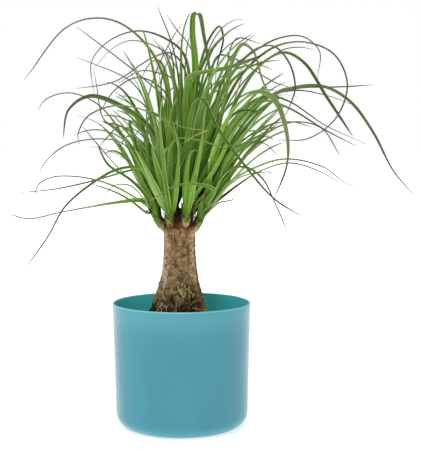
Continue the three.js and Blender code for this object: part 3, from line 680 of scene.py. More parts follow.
def fibre_rings():
    """Rootlets that lie on the bark: a line over angle and height with a slow bend, at the bark's own
    radius, lifted in the middle by a half sine."""
    draw = np.random.default_rng(31)
    share = np.linspace(0, 1, 10)[None]
    front = len(FRONT_FIBRES)
    start = np.column_stack([draw.uniform(0, 360, FIBRES), draw.uniform(116, 158, FIBRES)])
    length = draw.uniform(5, 17, FIBRES)
    heading = draw.normal(-90, 38, FIBRES) * math.pi / 180
    finish = start + np.column_stack([length * np.cos(heading) * 2.1, length * np.sin(heading)])
    start[:front], finish[:front] = FRONT_FIBRES[:, :2], FRONT_FIBRES[:, 2:]
    bend = draw.uniform(-1, 1, (FIBRES, 1)) * np.sin(math.pi * share)
    degree = start[:, :1] + (finish - start)[:, :1] * share + 5 * bend
    z = start[:, 1:] + (finish - start)[:, 1:] * share + 1.5 * bend
    angle = np.radians(degree)
    lift = draw.uniform(0.0, 1.6, (FIBRES, 1)) * np.sin(math.pi * share)
    r = trunk_surface(angle, z, trunk_radius(z))[0] + 0.15 + lift
    x = TRUNK_X + FOOT_LEAN * foot_share(z) + r * np.cos(angle)
    path = np.stack([x, r * np.sin(angle), z], axis=-1)
    size = draw.uniform(0.35, 0.75, FIBRES)[:, None] * (1 - 0.5 * share**3)
    size[:front] = 0.9 - 0.4 * share**2
    across = np.broadcast_to(np.array([0.3, 0.2, 0.93]), path.shape)
    tone = draw.uniform(0, 1, FIBRES)
    tone[:front] = 0.95
    return thread_rings(path, across, size, size), tone


def scrap_rings():
    """Frayed ends on the cut top, dark shreds in its gaps, broad flakes round its rim, and splinters
    on the stub: strips that start just under the bark, rise and lean outwards, and curl over by an
    angle that grows along them, each by its own seeded draw. The longer one is, the narrower."""
    draw = np.random.default_rng(37)
    share = np.linspace(0, 1, 14)
    count = SCRAPS + RIM_FLAKES + STUB_SPLINTERS
    at = np.arange(count)
    in_gap = at < GAP_SHREDS
    on_stub = at >= SCRAPS + RIM_FLAKES
    on_rim = (at >= SCRAPS) & ~on_stub
    gap = np.radians(FRONT_GAPS)[at % len(FRONT_GAPS)] + draw.normal(0, 0.11, count)
    bearing = np.where(in_gap, gap, draw.uniform(0, 2 * math.pi, count))
    out = 6 + 11 * np.sqrt(draw.uniform(0, 1, count))
    out = np.where(in_gap, draw.uniform(14.5, 17.3, count), out)
    out = np.select([on_stub, on_rim], [np.full(count, 4.0), draw.uniform(15.2, 17.2, count)], out)
    foot = np.column_stack([TRUNK_X + out * np.cos(bearing), out * np.sin(bearing)])
    base = np.interp(out, [6, 11, 15.8, 17.3], [222, 221, 219.5, 216.5]) - 0.6
    base = np.where(on_stub, draw.uniform(230, 236, count), base)
    length = draw.uniform(3, 8, count) + np.where(on_rim, 0, 18) * draw.uniform(0, 1, count) ** 2
    stub_length, gap_length = draw.uniform(5, 10, count), draw.uniform(8, 26, count)
    length = np.select([on_stub, in_gap], [stub_length, gap_length], length)
    lean = np.where(on_stub, 0.1, draw.uniform(0.1, 1.0, count) * np.where(in_gap, 0.6, 1))[:, None]
    curl = np.where(on_stub, 0.3, 1) * draw.uniform(-2.2, 2.6, count) * np.minimum(length / 8, 1.6)
    curl = curl[:, None]
    slope = math.pi / 2 - lean - curl * share**1.5
    aside, swerve = draw.normal(0, 0.7, count), draw.normal(0, 0.9, count)
    turn = bearing[:, None] + aside[:, None] + swerve[:, None] * share
    level = np.cos(slope)
    step = np.stack([level * np.cos(turn), level * np.sin(turn), np.sin(slope)], axis=-1)
    step = step * (length[:, None] / (len(share) - 1))[..., None]
    start = np.column_stack([foot, base])[:, None]
    path = start + np.cumsum(step, axis=1) - step[:, :1]
    widest = draw.uniform(0.7, 2.8, count) * np.minimum(1, 5 / length) ** 0.8
    choices = [1.6 * widest, 2.2 * widest, 0.9 + 0.5 * widest]
    widest = np.select([on_rim, on_stub, in_gap], choices, widest)
    wide = widest[:, None] * (1 - 0.7 * share)
    across = np.stack([-np.sin(turn), np.cos(turn), np.zeros_like(turn)], axis=-1)
    tone = draw.uniform(0, 1, count) ** 1.5 * 0.8
    # Partly painted shade: the stub splinters and the gap shreds get the darkest tones
    tone = np.select([on_stub, on_rim], [np.full(count, 0.05), draw.uniform(0.2, 0.55, count)], tone)
    tone = np.where(in_gap, draw.uniform(0, 0.24, count), tone)
    return thread_rings(path, across, wide, 0.25 + 0.15 * wide), tone


# Dry plant fibre: matt, from straw to nearly black, each thread in its own tone, stained in 4 mm
# patches.
STAIN_PATCH = 0.004
dry_fibre, tree, shader = new_material("dry_plant_fibre", 0.85)
shader.inputs["Specular IOR Level"].default_value = 0.2
place = add_node(tree, "TexCoord").outputs["Object"]
tone = add_node(tree, "Attribute", {"attribute_name": "tone"}).outputs["Fac"]
stain = add_node(tree, "TexNoise", inputs={"Vector": place, "Scale": 1 / STAIN_PATCH, "Detail": 3})
shade = add_node(
    tree, "Math", {"operation": "MULTIPLY_ADD"}, {0: stain.outputs["Fac"], 1: 0.3, 2: tone}
)
level = add_node(tree, "Math", {"operation": "SUBTRACT"}, {0: shade.outputs[0], 1: 0.15})
straw = add_node(
    tree,
    "ValToRGB",
    inputs={"Fac": level.outputs[0]},
    stops=[(0.0, "#2c190f"), (0.35, "#5e3d26"), (0.65, "#9a7a50"), (1.0, "#d6c79b")],
)
tree.links.new(straw.outputs["Color"], shader.inputs["Base Color"])
fibres, fibre_tone = fibre_rings()
add_skins("root_fibres", fibres, dry_fibre, values={"tone": fibre_tone[:, None, None]})
scraps, scrap_tone = scrap_rings()
add_skins("leaf_scraps", scraps, dry_fibre, values={"tone": scrap_tone[:, None, None]})


# THE SHOOTS
# Six shoots broke from the rim of the cut top. Each is a tight cone of clasping leaf bases, and
# its leaves are long tough straps with a keel, which arch over and end in a dry thread.
# The rule that places them is the CAD source's own, so every leaf keeps its solid's line.

BUD_RADIUS = 5.6
BUD_LENGTH = 34
LEAVES_EACH = 27
LONGEST_LEAF = 330
SHORTEST_LEAF = 130
KEEL_SHARE = 0.22
KEEL_LEAST = 0.7
THREAD_WIDTH = 0.8
MOST_ROLL = 0.6

# Leaves of one shoot may touch within ROOT_ZONE of its root, and all others keep CLEARANCE
ROOT_ZONE = 34
CLEARANCE = 0.5

# The steps of a CAD blade: as many as keep each bend's sag and each step's length within these
BEND_SAG = 2
LONGEST_STEP = 110
FEWEST_STEPS = 4
MOST_STEPS = 11
RULE_STEPS = 60

# The crown's bounds for the leaves of the rule: an oval in the front view, which leans 1 in 10, and
# an oval from above. Away from the trunk, leaves keep above a slope that starts at SKIRT_FOOT.
CROWN_X, CROWN_Z = 14, 330
CROWN_HALF_WIDTH, CROWN_HALF_HEIGHT = 98, 110
PLAN_X, PLAN_HALF_WIDTH, PLAN_HALF_DEPTH = 16, 120, 140
SKIRT_FROM, SKIRT_FOOT = 45, 222

# Each shoot: azimuth of its root anticlockwise from +X, lean, distance from the axis, height
SHOOTS = {
    "left": (183, 33, 16.2, 215),
    "front_left": (232, 20, 13, 219),
    "front_right": (296, 14, 13.5, 219),
    "right": (352, 27, 16.2, 214),
    "back_right": (52, 22, 14, 218),
    "back_left": (124, 24, 14, 218),
}
SHOOT_NAMES = list(SHOOTS)
azimuth, lean, rim, base_height = np.array(list(SHOOTS.values()), float).T
azimuth, lean = np.radians(azimuth), np.radians(lean)
SHOOT_ROOT = np.column_stack([TRUNK_X + rim * np.cos(azimuth), rim * np.sin(azimuth), base_height])
SHOOT_AXIS = np.column_stack(
    [np.sin(lean) * np.cos(azimuth), np.sin(lean) * np.sin(azimuth), np.cos(lean)]
)

# The leaves that give the crown its outline, by shoot: how far the tip goes back from the plane
# through the pot's axis, the leaf's width, and the points (x, height) that it passes in that plane
# as seen from EYE
EYE = np.array([31.0, -1200.0, 314.0])
OUTLINE_LEAVES = {
    "left": [
        (-50, 5, [(-44, 283), (-68, 322), (-83, 333), (-90, 366), (-93, 384)]),
        (30, 5, [(-26, 267), (-39, 352), (-53, 372), (-66, 380), (-111, 398)]),
        (60, 6, [(-43, 269), (-67, 322), (-91, 350), (-120, 361), (-145, 354), (-154, 342)]),
        (100, 5, [(-36, 256), (-60, 305), (-89, 312), (-128, 303), (-151, 280), (-153, 269)]),
        (-70, 9, [(-38, 250), (-55, 268), (-79, 284), (-91, 308)]),
        (-40, 8, [(-32, 239), (-41, 245), (-72, 243), (-131, 233), (-165, 226), (-189, 232)]),
        (80, 7, [(-32, 236), (-49, 249), (-77, 263), (-109, 271), (-138, 271), (-154, 263),
            (-159, 247)]),
        (-100, 7, [(-36, 232), (-57, 247), (-75, 256), (-96, 263)]),
        (130, 4, [(-39, 251), (-67, 280), (-90, 306), (-105, 324)]),
        (-120, 4, [(-35, 240), (-54, 261), (-73, 261), (-84, 248)]),
        (-20, 5, [(-38, 269), (-49, 313), (-65, 325), (-81, 312), (-88, 303)]),
        (-60, 9, [(-39, 262), (-51, 312), (-55, 331), (-47, 327), (-31, 307)]),
        (20, 4, [(-33, 278), (-37, 347), (-28, 381), (-10, 418), (1, 434)]),
        (-150, 5, [(-35, 289), (-33, 339), (-21, 335), (2, 324), (29, 320)]),
    ],
    "front_left": [
        (-60, 8, [(-6, 299), (-18, 375), (-35, 409), (-64, 434), (-92, 440), (-123, 430),
            (-168, 374)]),
        (-90, 5, [(-4, 299), (-12, 353), (-28, 371), (-48, 377), (-72, 363), (-89, 337)]),
        (-100, 10, [(-18, 289), (-33, 322), (-62, 345), (-98, 357), (-121, 342), (-127, 312)]),
        (-110, 6, [(-26, 262), (-39, 280), (-55, 278), (-90, 268), (-134, 258), (-180, 253)]),
        (-140, 7, [(-23, 256), (-45, 280), (-68, 279), (-97, 263), (-126, 238), (-144, 207),
            (-170, 171)]),
        (-20, 6, [(-15, 278), (-19, 329), (-23, 377), (-28, 395)]),
        (10, 5, [(-15, 299), (-21, 374), (-13, 396), (-3, 413), (8, 423)]),
        (-70, 9, [(9, 310), (21, 393), (33, 423), (41, 431), (45, 418), (39, 392), (36, 370)]),
        (-150, 9, [(5, 299), (15, 350), (22, 355), (37, 326), (69, 282), (99, 248), (133, 226)]),
        (-120, 8, [(-12, 262), (-11, 304), (-4, 312), (20, 310), (51, 300)]),
    ],
    "front_right": [
        (60, 6, [(10, 321), (4, 399), (-15, 417), (-45, 426), (-76, 416), (-96, 393), (-93, 359)]),
        (-30, 8, [(2, 289), (-17, 330), (-44, 344), (-73, 347), (-101, 335), (-111, 315),
            (-109, 305)]),
        (70, 11, [(10, 299), (15, 389), (12, 427), (14, 444), (19, 444), (24, 422), (30, 387),
            (33, 358)]),
        (100, 7, [(23, 310), (31, 379), (40, 400), (55, 398), (100, 372), (118, 366)]),
        (-90, 9, [(31, 321), (50, 374), (78, 406), (97, 411), (114, 395), (122, 366), (112, 336)]),
        (-60, 12, [(6, 299), (5, 358), (9, 378), (21, 382), (49, 387), (84, 399)]),
    ],
    "right": [
        (-30, 11, [(33, 289), (46, 353), (56, 398), (66, 412), (77, 405), (87, 374), (94, 359)]),
        (-60, 8, [(35, 321), (65, 381), (100, 410), (131, 415), (163, 402), (178, 370), (166, 333),
            (136, 311), (103, 310)]),
        (40, 6, [(41, 331), (73, 380), (108, 406), (127, 409), (142, 406)]),
        (-100, 11, [(36, 299), (59, 355), (86, 393), (110, 404), (131, 393), (155, 357),
            (184, 314)]),
        (-20, 8, [(38, 289), (63, 339), (96, 358), (127, 366), (164, 367), (205, 369)]),
        (60, 9, [(42, 299), (79, 347), (120, 366), (153, 367), (181, 351), (206, 318), (228, 277),
            (253, 248)]),
        (-80, 8, [(35, 278), (63, 329), (90, 352), (116, 344), (154, 321), (187, 304)]),
        (-130, 10, [(34, 299), (61, 350), (82, 362), (99, 354), (112, 323), (114, 287), (99, 245)]),
        (20, 7, [(39, 267), (65, 303), (92, 319), (121, 330), (151, 323), (172, 291)]),
        (-110, 5, [(36, 256), (51, 297), (74, 308), (90, 306), (105, 292)]),
        (-40, 6, [(33, 243), (46, 261), (77, 280), (112, 290), (153, 281), (177, 264), (200, 260)]),
        (50, 5, [(35, 242), (82, 276), (115, 286), (148, 277), (176, 261)]),
        (-120, 6, [(34, 254), (51, 278), (69, 281), (87, 269), (101, 242), (114, 211)]),
        (80, 4, [(33, 243), (62, 270), (87, 276), (97, 275), (96, 263)]),
        (-30, 5, [(26, 231), (40, 243), (56, 247), (57, 255)]),
        (-110, 8, [(28, 243), (34, 257), (15, 263), (-7, 261), (-34, 245)]),
    ],
    "back_right": [
        (100, 6, [(9, 310), (3, 387), (-12, 403), (-33, 397), (-71, 373), (-113, 365)]),
        (80, 5, [(18, 321), (19, 379), (9, 411), (-4, 427), (-15, 443)]),
        (50, 7, [(35, 321), (49, 391), (53, 410), (61, 419), (86, 412)]),
        (90, 7, [(35, 342), (48, 381), (70, 399), (103, 418), (130, 420), (148, 404), (145, 374)]),
        (120, 6, [(47, 310), (86, 352), (120, 363), (158, 357), (190, 345)]),
        (30, 6, [(36, 289), (63, 340), (89, 357), (114, 352), (154, 326), (198, 306)]),
        (90, 5, [(36, 273), (62, 306), (92, 326), (119, 330), (140, 324)]),
    ],
    "back_left": [
        (70, 6, [(-6, 299), (-17, 353), (-40, 376), (-86, 412), (-112, 431)]),
        (110, 6, [(4, 310), (0, 374), (-16, 403), (-51, 416), (-71, 409), (-95, 385)]),
        (40, 5, [(1, 321), (-8, 374), (-25, 382), (-44, 384), (-68, 370)]),
        (30, 7, [(-1, 310), (-4, 385), (-11, 417), (-25, 452)]),
    ],
}


def unit(v):
    """v over its own length, for one vector or an array of them."""
    return v / np.linalg.norm(v, axis=-1, keepdims=True)


def bud_frame(shoot):
    """Two directions square to a bud's axis: the level one, and their cross product."""
    level = unit(np.cross([0, 0, 1], SHOOT_AXIS[shoot]))
    return level, np.cross(SHOOT_AXIS[shoot], level)


def root_on(shoot, share, heading):
    """Where a leaf is rooted: a share up its bud, and on the side that faces its heading."""
    axis = SHOOT_AXIS[shoot]
    outward = unit(heading - axis * heading.dot(axis))
    along = axis * ((0.26 + 0.52 * share) * BUD_LENGTH)
    return SHOOT_ROOT[shoot] + along + outward * ((0.7 - 0.45 * share) * BUD_RADIUS)


def outline_path(shoot, points, share, tip_depth, bow):
    """A smooth line through a leaf's points, each pushed along its sight line to the leaf's depth
    there: a depth that grows steadily from root to tip, with a half sine of bow on the way."""
    front = np.array(points, float)

    def at_depth(x, z, y):
        flat = np.stack([x, np.zeros_like(x), z], axis=-1)
        return EYE + (flat - EYE) * (1 - y / EYE[1])[..., None]

    tip = at_depth(front[-1, 0], front[-1, 1], np.float64(tip_depth))
    heading = unit((tip - SHOOT_ROOT[shoot]) * [1, 1, 0])
    root = root_on(shoot, share, heading)
    chords = np.cumsum(np.linalg.norm(np.diff(np.vstack([root[[0, 2]], front]), axis=0), axis=1))
    along = chords / chords[-1]
    depth = root[1] + (tip_depth - root[1]) * along + bow * np.sin(math.pi * along)
    passed = at_depth(front[:, 0], front[:, 1], depth)
    leaving = unit(unit(passed[0] - root) * 0.6 + SHOOT_AXIS[shoot] * 0.7)
    line = smooth_line(np.vstack([root, root + leaving * 15, passed]), 14 * (len(passed) + 1))
    return line, heading


# The CAD source's own seeded sequence: each number is the last one times a factor, and what is
# left of that after division by a prime
SEQUENCE_FACTOR = 48271
SEQUENCE_PRIME = 2147483647
seed = 22564


def draw_one():
    """The sequence's next number, over the prime: from 0 to 1."""
    global seed
    seed = (seed * SEQUENCE_FACTOR) % SEQUENCE_PRIME
    return seed / SEQUENCE_PRIME


# The lengths that a leaf of the rule may have, each a little less than the one before
SHORTENED = 0.92
leaf_lengths = [float(LONGEST_LEAF)]
while leaf_lengths[-1] * SHORTENED > SHORTEST_LEAF:
    leaf_lengths.append(leaf_lengths[-1] * SHORTENED)


def rule_path(shoot, share, turn, room=1.0, arch=0):
    """A leaf that leaves its bud at a spread from the axis, and then turns down steadily more along
    its length while its heading drifts to one side. It is as long as the crown's bounds allow: an
    oval in the front view, an oval from above, and away from the trunk a slope that rises outwards.
    room widens both ovals, and arch adds to how far the tip turns down."""
    spread = math.radians(5 + 24 * (1 - share) + 10 * (draw_one() - 0.5))
    around = turn + 0.7 * (draw_one() - 0.5)
    end_slope = math.radians(35 - arch - 95 * draw_one())
    power = 1.6 + 1.6 * draw_one()
    drift = math.radians(80 * (draw_one() - 0.5))
    level, other = bud_frame(shoot)
    radial = level * math.cos(around) + other * math.sin(around)
    start = SHOOT_AXIS[shoot] * math.cos(spread) + radial * math.sin(spread)
    slope, bearing = math.asin(start[2]), math.atan2(start[1], start[0])
    heading = np.array([math.cos(bearing + drift / 2), math.sin(bearing + drift / 2), 0])
    t = (np.arange(RULE_STEPS) + 0.5) / RULE_STEPS
    s = slope + (end_slope - slope) * t**power
    b = bearing + drift * t * t
    steps = np.column_stack([np.cos(s) * np.cos(b), np.cos(s) * np.sin(b), np.sin(s)])
    walked = np.vstack([[0, 0, 0], np.cumsum(steps, axis=0)]) / RULE_STEPS
    lines = root_on(shoot, share, radial) + np.array(leaf_lengths)[:, None, None] * walked
    x, y, z = lines[..., 0], lines[..., 1], lines[..., 2]
    out = np.hypot(x, y)
    up = z - CROWN_Z
    sideways = (x - CROWN_X - 0.1 * up) / CROWN_HALF_WIDTH / room
    inside = sideways**2 + (up / CROWN_HALF_HEIGHT) ** 2 < 1
    inside &= ((x - PLAN_X) / PLAN_HALF_WIDTH / room) ** 2 + (y / PLAN_HALF_DEPTH) ** 2 < 1
    inside &= (out < SKIRT_FROM) | (z > SKIRT_FOOT + 0.5 * out + 0.2 * x)
    fitting = np.flatnonzero(inside.all(axis=1))
    return (lines[fitting[0]], heading) if len(fitting) else None


def width_at(width, t):
    """A leaf opens from a narrow base by a quarter sine, and then narrows to a thread, a narrow leaf
    sooner than a broad one."""
    opening = 0.5 + 0.5 * np.sin(np.minimum(1, t / 0.25) * math.pi / 2)
    return width * opening * np.maximum(1 - t, 0) ** (1.5 - 0.08 * width) + THREAD_WIDTH


def bend_cost(line, sag, longest):
    """Running cost along a line, by which stations are spread: the root of each bend's own sag over
    the sag allowed, plus length over the longest step. Also the running distance."""
    step = np.diff(line, axis=0)
    length = np.linalg.norm(step, axis=1)
    cosine = (step[:-1] * step[1:]).sum(axis=1) / (length[:-1] * length[1:])
    turn = np.append(np.arccos(np.clip(cosine, -1, 1)), 0)
    cost = np.sqrt(turn * length / (8 * sag)) + length / longest
    return np.append(0, np.cumsum(cost)), np.append(0, np.cumsum(length))


def spread_along(line, cost, distance, steps):
    """Points and shares of distance at equal costs along a line."""
    wanted = cost[-1] * np.arange(steps + 1) / steps
    points = np.column_stack([np.interp(wanted, cost, line[:, i]) for i in range(3)])
    return points, np.interp(wanted, cost, distance) / distance[-1]


def blade_stations(line, heading, width, roll):
    """The CAD blade's stations over a dense line. The blade lies level across its heading, but for
    its roll about its own direction."""
    cost, distance = bend_cost(line, BEND_SAG, LONGEST_STEP)
    steps = int(np.clip(math.ceil(cost[-1]), FEWEST_STEPS, MOST_STEPS))
    point, t = spread_along(line, cost, distance, steps)
    at = np.arange(steps + 1)
    along = unit(point[np.minimum(at + 1, steps)] - point[np.maximum(at - 1, 0)])
    side = np.array([-heading[1], heading[0], 0])
    across = unit(side - along * (along @ side)[:, None])
    across = across * math.cos(roll) + np.cross(along, across) * math.sin(roll)
    upper = np.cross(along, across)
    wide = width_at(width, t)
    keel = np.maximum(KEEL_LEAST, KEEL_SHARE * wide)
    return {"t": t, "point": point, "across": across, "upper": upper, "width": wide, "keel": keel}


STRETCH = np.dtype(
    [
        ("start", float, 3), ("end", float, 3), ("across", float, 3), ("upper", float, 3),
        ("half", float), ("thick", float), ("round", float), ("shoot", int), ("rooted", bool),
    ]
)


def stretches_of(blade, shoot):
    """The straight stretches between a blade's stations, with what their flat section reaches."""
    middle = blade["point"] - blade["upper"] * (blade["keel"] / 2)[:, None]
    near = np.linalg.norm(blade["point"] - SHOOT_ROOT[shoot], axis=1)
    made = np.zeros(len(middle) - 1, STRETCH)
    made["start"], made["end"] = middle[:-1], middle[1:]
    made["across"] = unit(blade["across"][:-1] + blade["across"][1:])
    made["upper"] = unit(blade["upper"][:-1] + blade["upper"][1:])
    made["half"] = np.maximum(blade["width"][:-1], blade["width"][1:]) / 2
    made["thick"] = np.maximum(blade["keel"][:-1], blade["keel"][1:]) / 2
    made["shoot"] = shoot
    made["rooted"] = np.minimum(near[:-1], near[1:]) < ROOT_ZONE
    return made


def round_stretch(start, end, radius, shoot):
    """A round stretch, such as the trunk or a bud, that leaves keep clear of."""
    made = np.zeros(1, STRETCH)
    made["start"], made["end"] = start, end
    made["round"], made["shoot"], made["rooted"] = radius, shoot, True
    return made


def is_clear(new, placed):
    """True if each new stretch is apart from each placed one: on the line between their closest
    points, the gap is more than both flat sections reach along it. Far pairs are left out first, by
    their boxes, and pairs of one shoot near its root may touch."""
    i, j = np.meshgrid(np.arange(len(new)), np.arange(len(placed)), indexing="ij")
    a_low, a_high = np.minimum(new["start"], new["end"]), np.maximum(new["start"], new["end"])
    b_low = np.minimum(placed["start"], placed["end"])
    b_high = np.maximum(placed["start"], placed["end"])
    reach = new["half"][:, None] + (placed["half"] + placed["round"])[None] + 4
    apart = np.maximum(a_low[:, None] - b_high[None], b_low[None] - a_high[:, None]).max(axis=2)
    same_shoot = new["shoot"][:, None] == placed["shoot"][None]
    near_root = new["rooted"][:, None] | placed["rooted"][None]
    tested = (apart <= reach) & ~(same_shoot & near_root)
    a, b, reach = new[i[tested]], placed[j[tested]], reach[tested]
    d, e, w = a["end"] - a["start"], b["end"] - b["start"], a["start"] - b["start"]
    dd, de, ee = (d * d).sum(axis=1), (d * e).sum(axis=1), (e * e).sum(axis=1)
    dw, ew = (d * w).sum(axis=1), (e * w).sum(axis=1)
    spare = dd * ee - de * de
    u = np.where(spare > 1e-9, np.clip((de * ew - ee * dw) / np.maximum(spare, 1e-9), 0, 1), 0)
    v = np.clip((de * u + ew) / ee, 0, 1)
    u = np.clip((de * v - dw) / dd, 0, 1)
    offset = w + d * u[:, None] - e * v[:, None]
    gap = np.linalg.norm(offset, axis=1)
    way = offset / np.maximum(gap, 1e-6)[:, None]
    flat_a = np.abs((way * a["across"]).sum(axis=1)) * a["half"]
    flat_a += np.abs((way * a["upper"]).sum(axis=1)) * a["thick"] + a["round"]
    flat_b = np.abs((way * b["across"]).sum(axis=1)) * b["half"]
    flat_b += np.abs((way * b["upper"]).sum(axis=1)) * b["thick"] + b["round"]
    return bool(np.all((gap > reach) | ((gap >= 1e-6) & (gap > flat_a + flat_b + CLEARANCE))))


# What the first leaf has to keep clear of: the trunk below the shoots, the dead stub, and the buds
NO_SHOOT = -1
placed = [
    round_stretch([TRUNK_X, 0, 110], [TRUNK_X, 0, 197], 18.5, NO_SHOOT),
    round_stretch([TRUNK_X, 0, 226], [TRUNK_X, 0, 234], 5, NO_SHOOT),
]
for k in range(len(SHOOTS)):
    bud_tip = SHOOT_ROOT[k] + SHOOT_AXIS[k] * BUD_LENGTH
    placed.append(round_stretch(SHOOT_ROOT[k], bud_tip, BUD_RADIUS, k))
placed = np.concatenate(placed)
leaves = [[] for _ in SHOOT_NAMES]


def grow(shoot, line, heading, share, width, roll):
    """Keeps a leaf where its stretches clear everything in place, and says if it does. Until the
    scene dresses it, a leaf is slim and has no straw tip and no shade."""
    global placed
    blade = blade_stations(line, heading, width, roll)
    new = stretches_of(blade, shoot)
    if not is_clear(new, placed):
        return False
    placed = np.concatenate([placed, new])
    leaf = {"line": line, "share": share, "size": width, "t": blade["t"], "across": blade["across"]}
    leaves[shoot].append({**leaf, "slim": 1, "straw": False, "shaded": False})
    return True


BOWS = (0, -12, 12, -24, 24)
SHIFTS = (0, -9, 9, -18, 18, -28, 28, -40, 40, -55, 55)
ROUND_THE_RIM = (0, 1, -1, 2, -2, 3)
GOLDEN_SHARE = 0.618
GOLDEN_ANGLE = math.radians(137.508)
MOST_ROUNDS = 140
MOST_TRIES = 12


def grow_outline(name, tip_depth, width, points):
    """Grows an outline leaf where it is. It is bent forward or back until it is clear, or else it
    grows from the nearest shoot round the rim. The higher its first point, the higher its root."""
    own = SHOOT_NAMES.index(name)
    rise = min(1, max(0, (points[0][1] - 230) / 90))
    for step in ROUND_THE_RIM:
        shoot = (own + step) % len(SHOOTS)
        order = len(leaves[shoot])
        share = 0.75 * rise + 0.25 * ((GOLDEN_SHARE * order) % 1)
        roll = MOST_ROLL * math.sin(2.4 * order)
        for bow in BOWS:
            for shift in SHIFTS:
                line, heading = outline_path(shoot, points, share, tip_depth + shift, bow)
                if grow(shoot, line, heading, share, width, roll):
                    return


def grow_by_rule(shoot, turn):
    """Grows one leaf by the rule, at the first of twelve tries that is clear."""
    share = 0.03 + 0.94 * ((GOLDEN_SHARE * turn) % 1)
    width = 7 + 2 * share + 3 * draw_one()
    roll = MOST_ROLL * (2 * draw_one() - 1)
    for tries in range(MOST_TRIES):
        found = rule_path(shoot, share, turn * GOLDEN_ANGLE + tries * 0.9)
        if found and grow(shoot, *found, share, width, roll):
            return


outline_rows = [(name, *row) for name, rows in OUTLINE_LEAVES.items() for row in rows]
for row in sorted(outline_rows, key=lambda row: -row[2]):
    grow_outline(*row)
outline_count = [len(grown) for grown in leaves]
for turn in range(MOST_ROUNDS):
    for shoot in range(len(SHOOTS)):
        if len(leaves[shoot]) < LEAVES_EACH:
            grow_by_rule(shoot, turn)
solid_count = [len(grown) for grown in leaves]

# Two outline leaves are known by where their tips are seen from EYE. One has a dry tip, which in the
# scene folds back on itself across the front of the crown. The other crosses the necks low down, in a
# darker green that is painted shade. The narrower an outline leaf, the slimmer is its outer half.
STRAW_TIP = [29, 320]
SHADED_TIP = [-34, 245]
FOLD_BACK = [-25, -3, -12.5]
for grown, outlined in zip(leaves, outline_count):
    for leaf in grown[:outlined]:
        leaf["slim"] = np.clip((10 - leaf["size"]) / 2.5, 0, 1)
    for leaf in grown:
        tip = leaf["line"][-1]
        seen_at = (EYE + (tip - EYE) * EYE[1] / (EYE[1] - tip[1]))[[0, 2]]
        leaf["straw"] = bool(np.linalg.norm(seen_at - STRAW_TIP) < 1)
        leaf["shaded"] = bool(np.linalg.norm(seen_at - SHADED_TIP) < 1)
        if leaf["straw"]:
            back = np.linspace(0, 1, 16)[1:, None]
            folded = tip + back * FOLD_BACK + np.sin(math.pi * back) * [0, 0, 1.2]
            leaf["line"] = np.vstack([leaf["line"], folded])

# Besides the solids' leaves there are slender ones, which fill the crown and hang over its edge.
# They are grown by the same rule, up to nine on each shoot, in wider bounds and with tips that turn
# down further.
SLENDER_EACH = 9
SLENDER_ROUNDS = 40
SLENDER_ROOM = 1.28
SLENDER_ARCH = 25
for turn in range(SLENDER_ROUNDS):
    for k in range(len(SHOOTS)):
        if len(leaves[k]) - solid_count[k] < SLENDER_EACH:
            share = 0.05 + 0.9 * ((GOLDEN_SHARE * turn) % 1)
            roll, width = draw_one() - 0.5, 2 + 2 * draw_one()
            found = rule_path(k, share, turn * GOLDEN_ANGLE + 1, SLENDER_ROOM, SLENDER_ARCH)
            if found:
                grow(k, *found, share, width, roll)

# How a leaf is meshed: rows along its free part and up its clasping base, and points across one
# side. Its rows are closest where its line strays most from straight.
LEAF_STEPS = 52
SHEATH_STEPS = 8
LEAF_COLUMNS = 7
LEAF_THICKNESS = 0.45
LEAF_SAG = 0.12
LEAF_LONGEST_STEP = 14


def eased(share):
    """A share from 0 to 1 that starts and ends gently: 3 s s - 2 s s s."""
    return share * share * (3 - 2 * share)


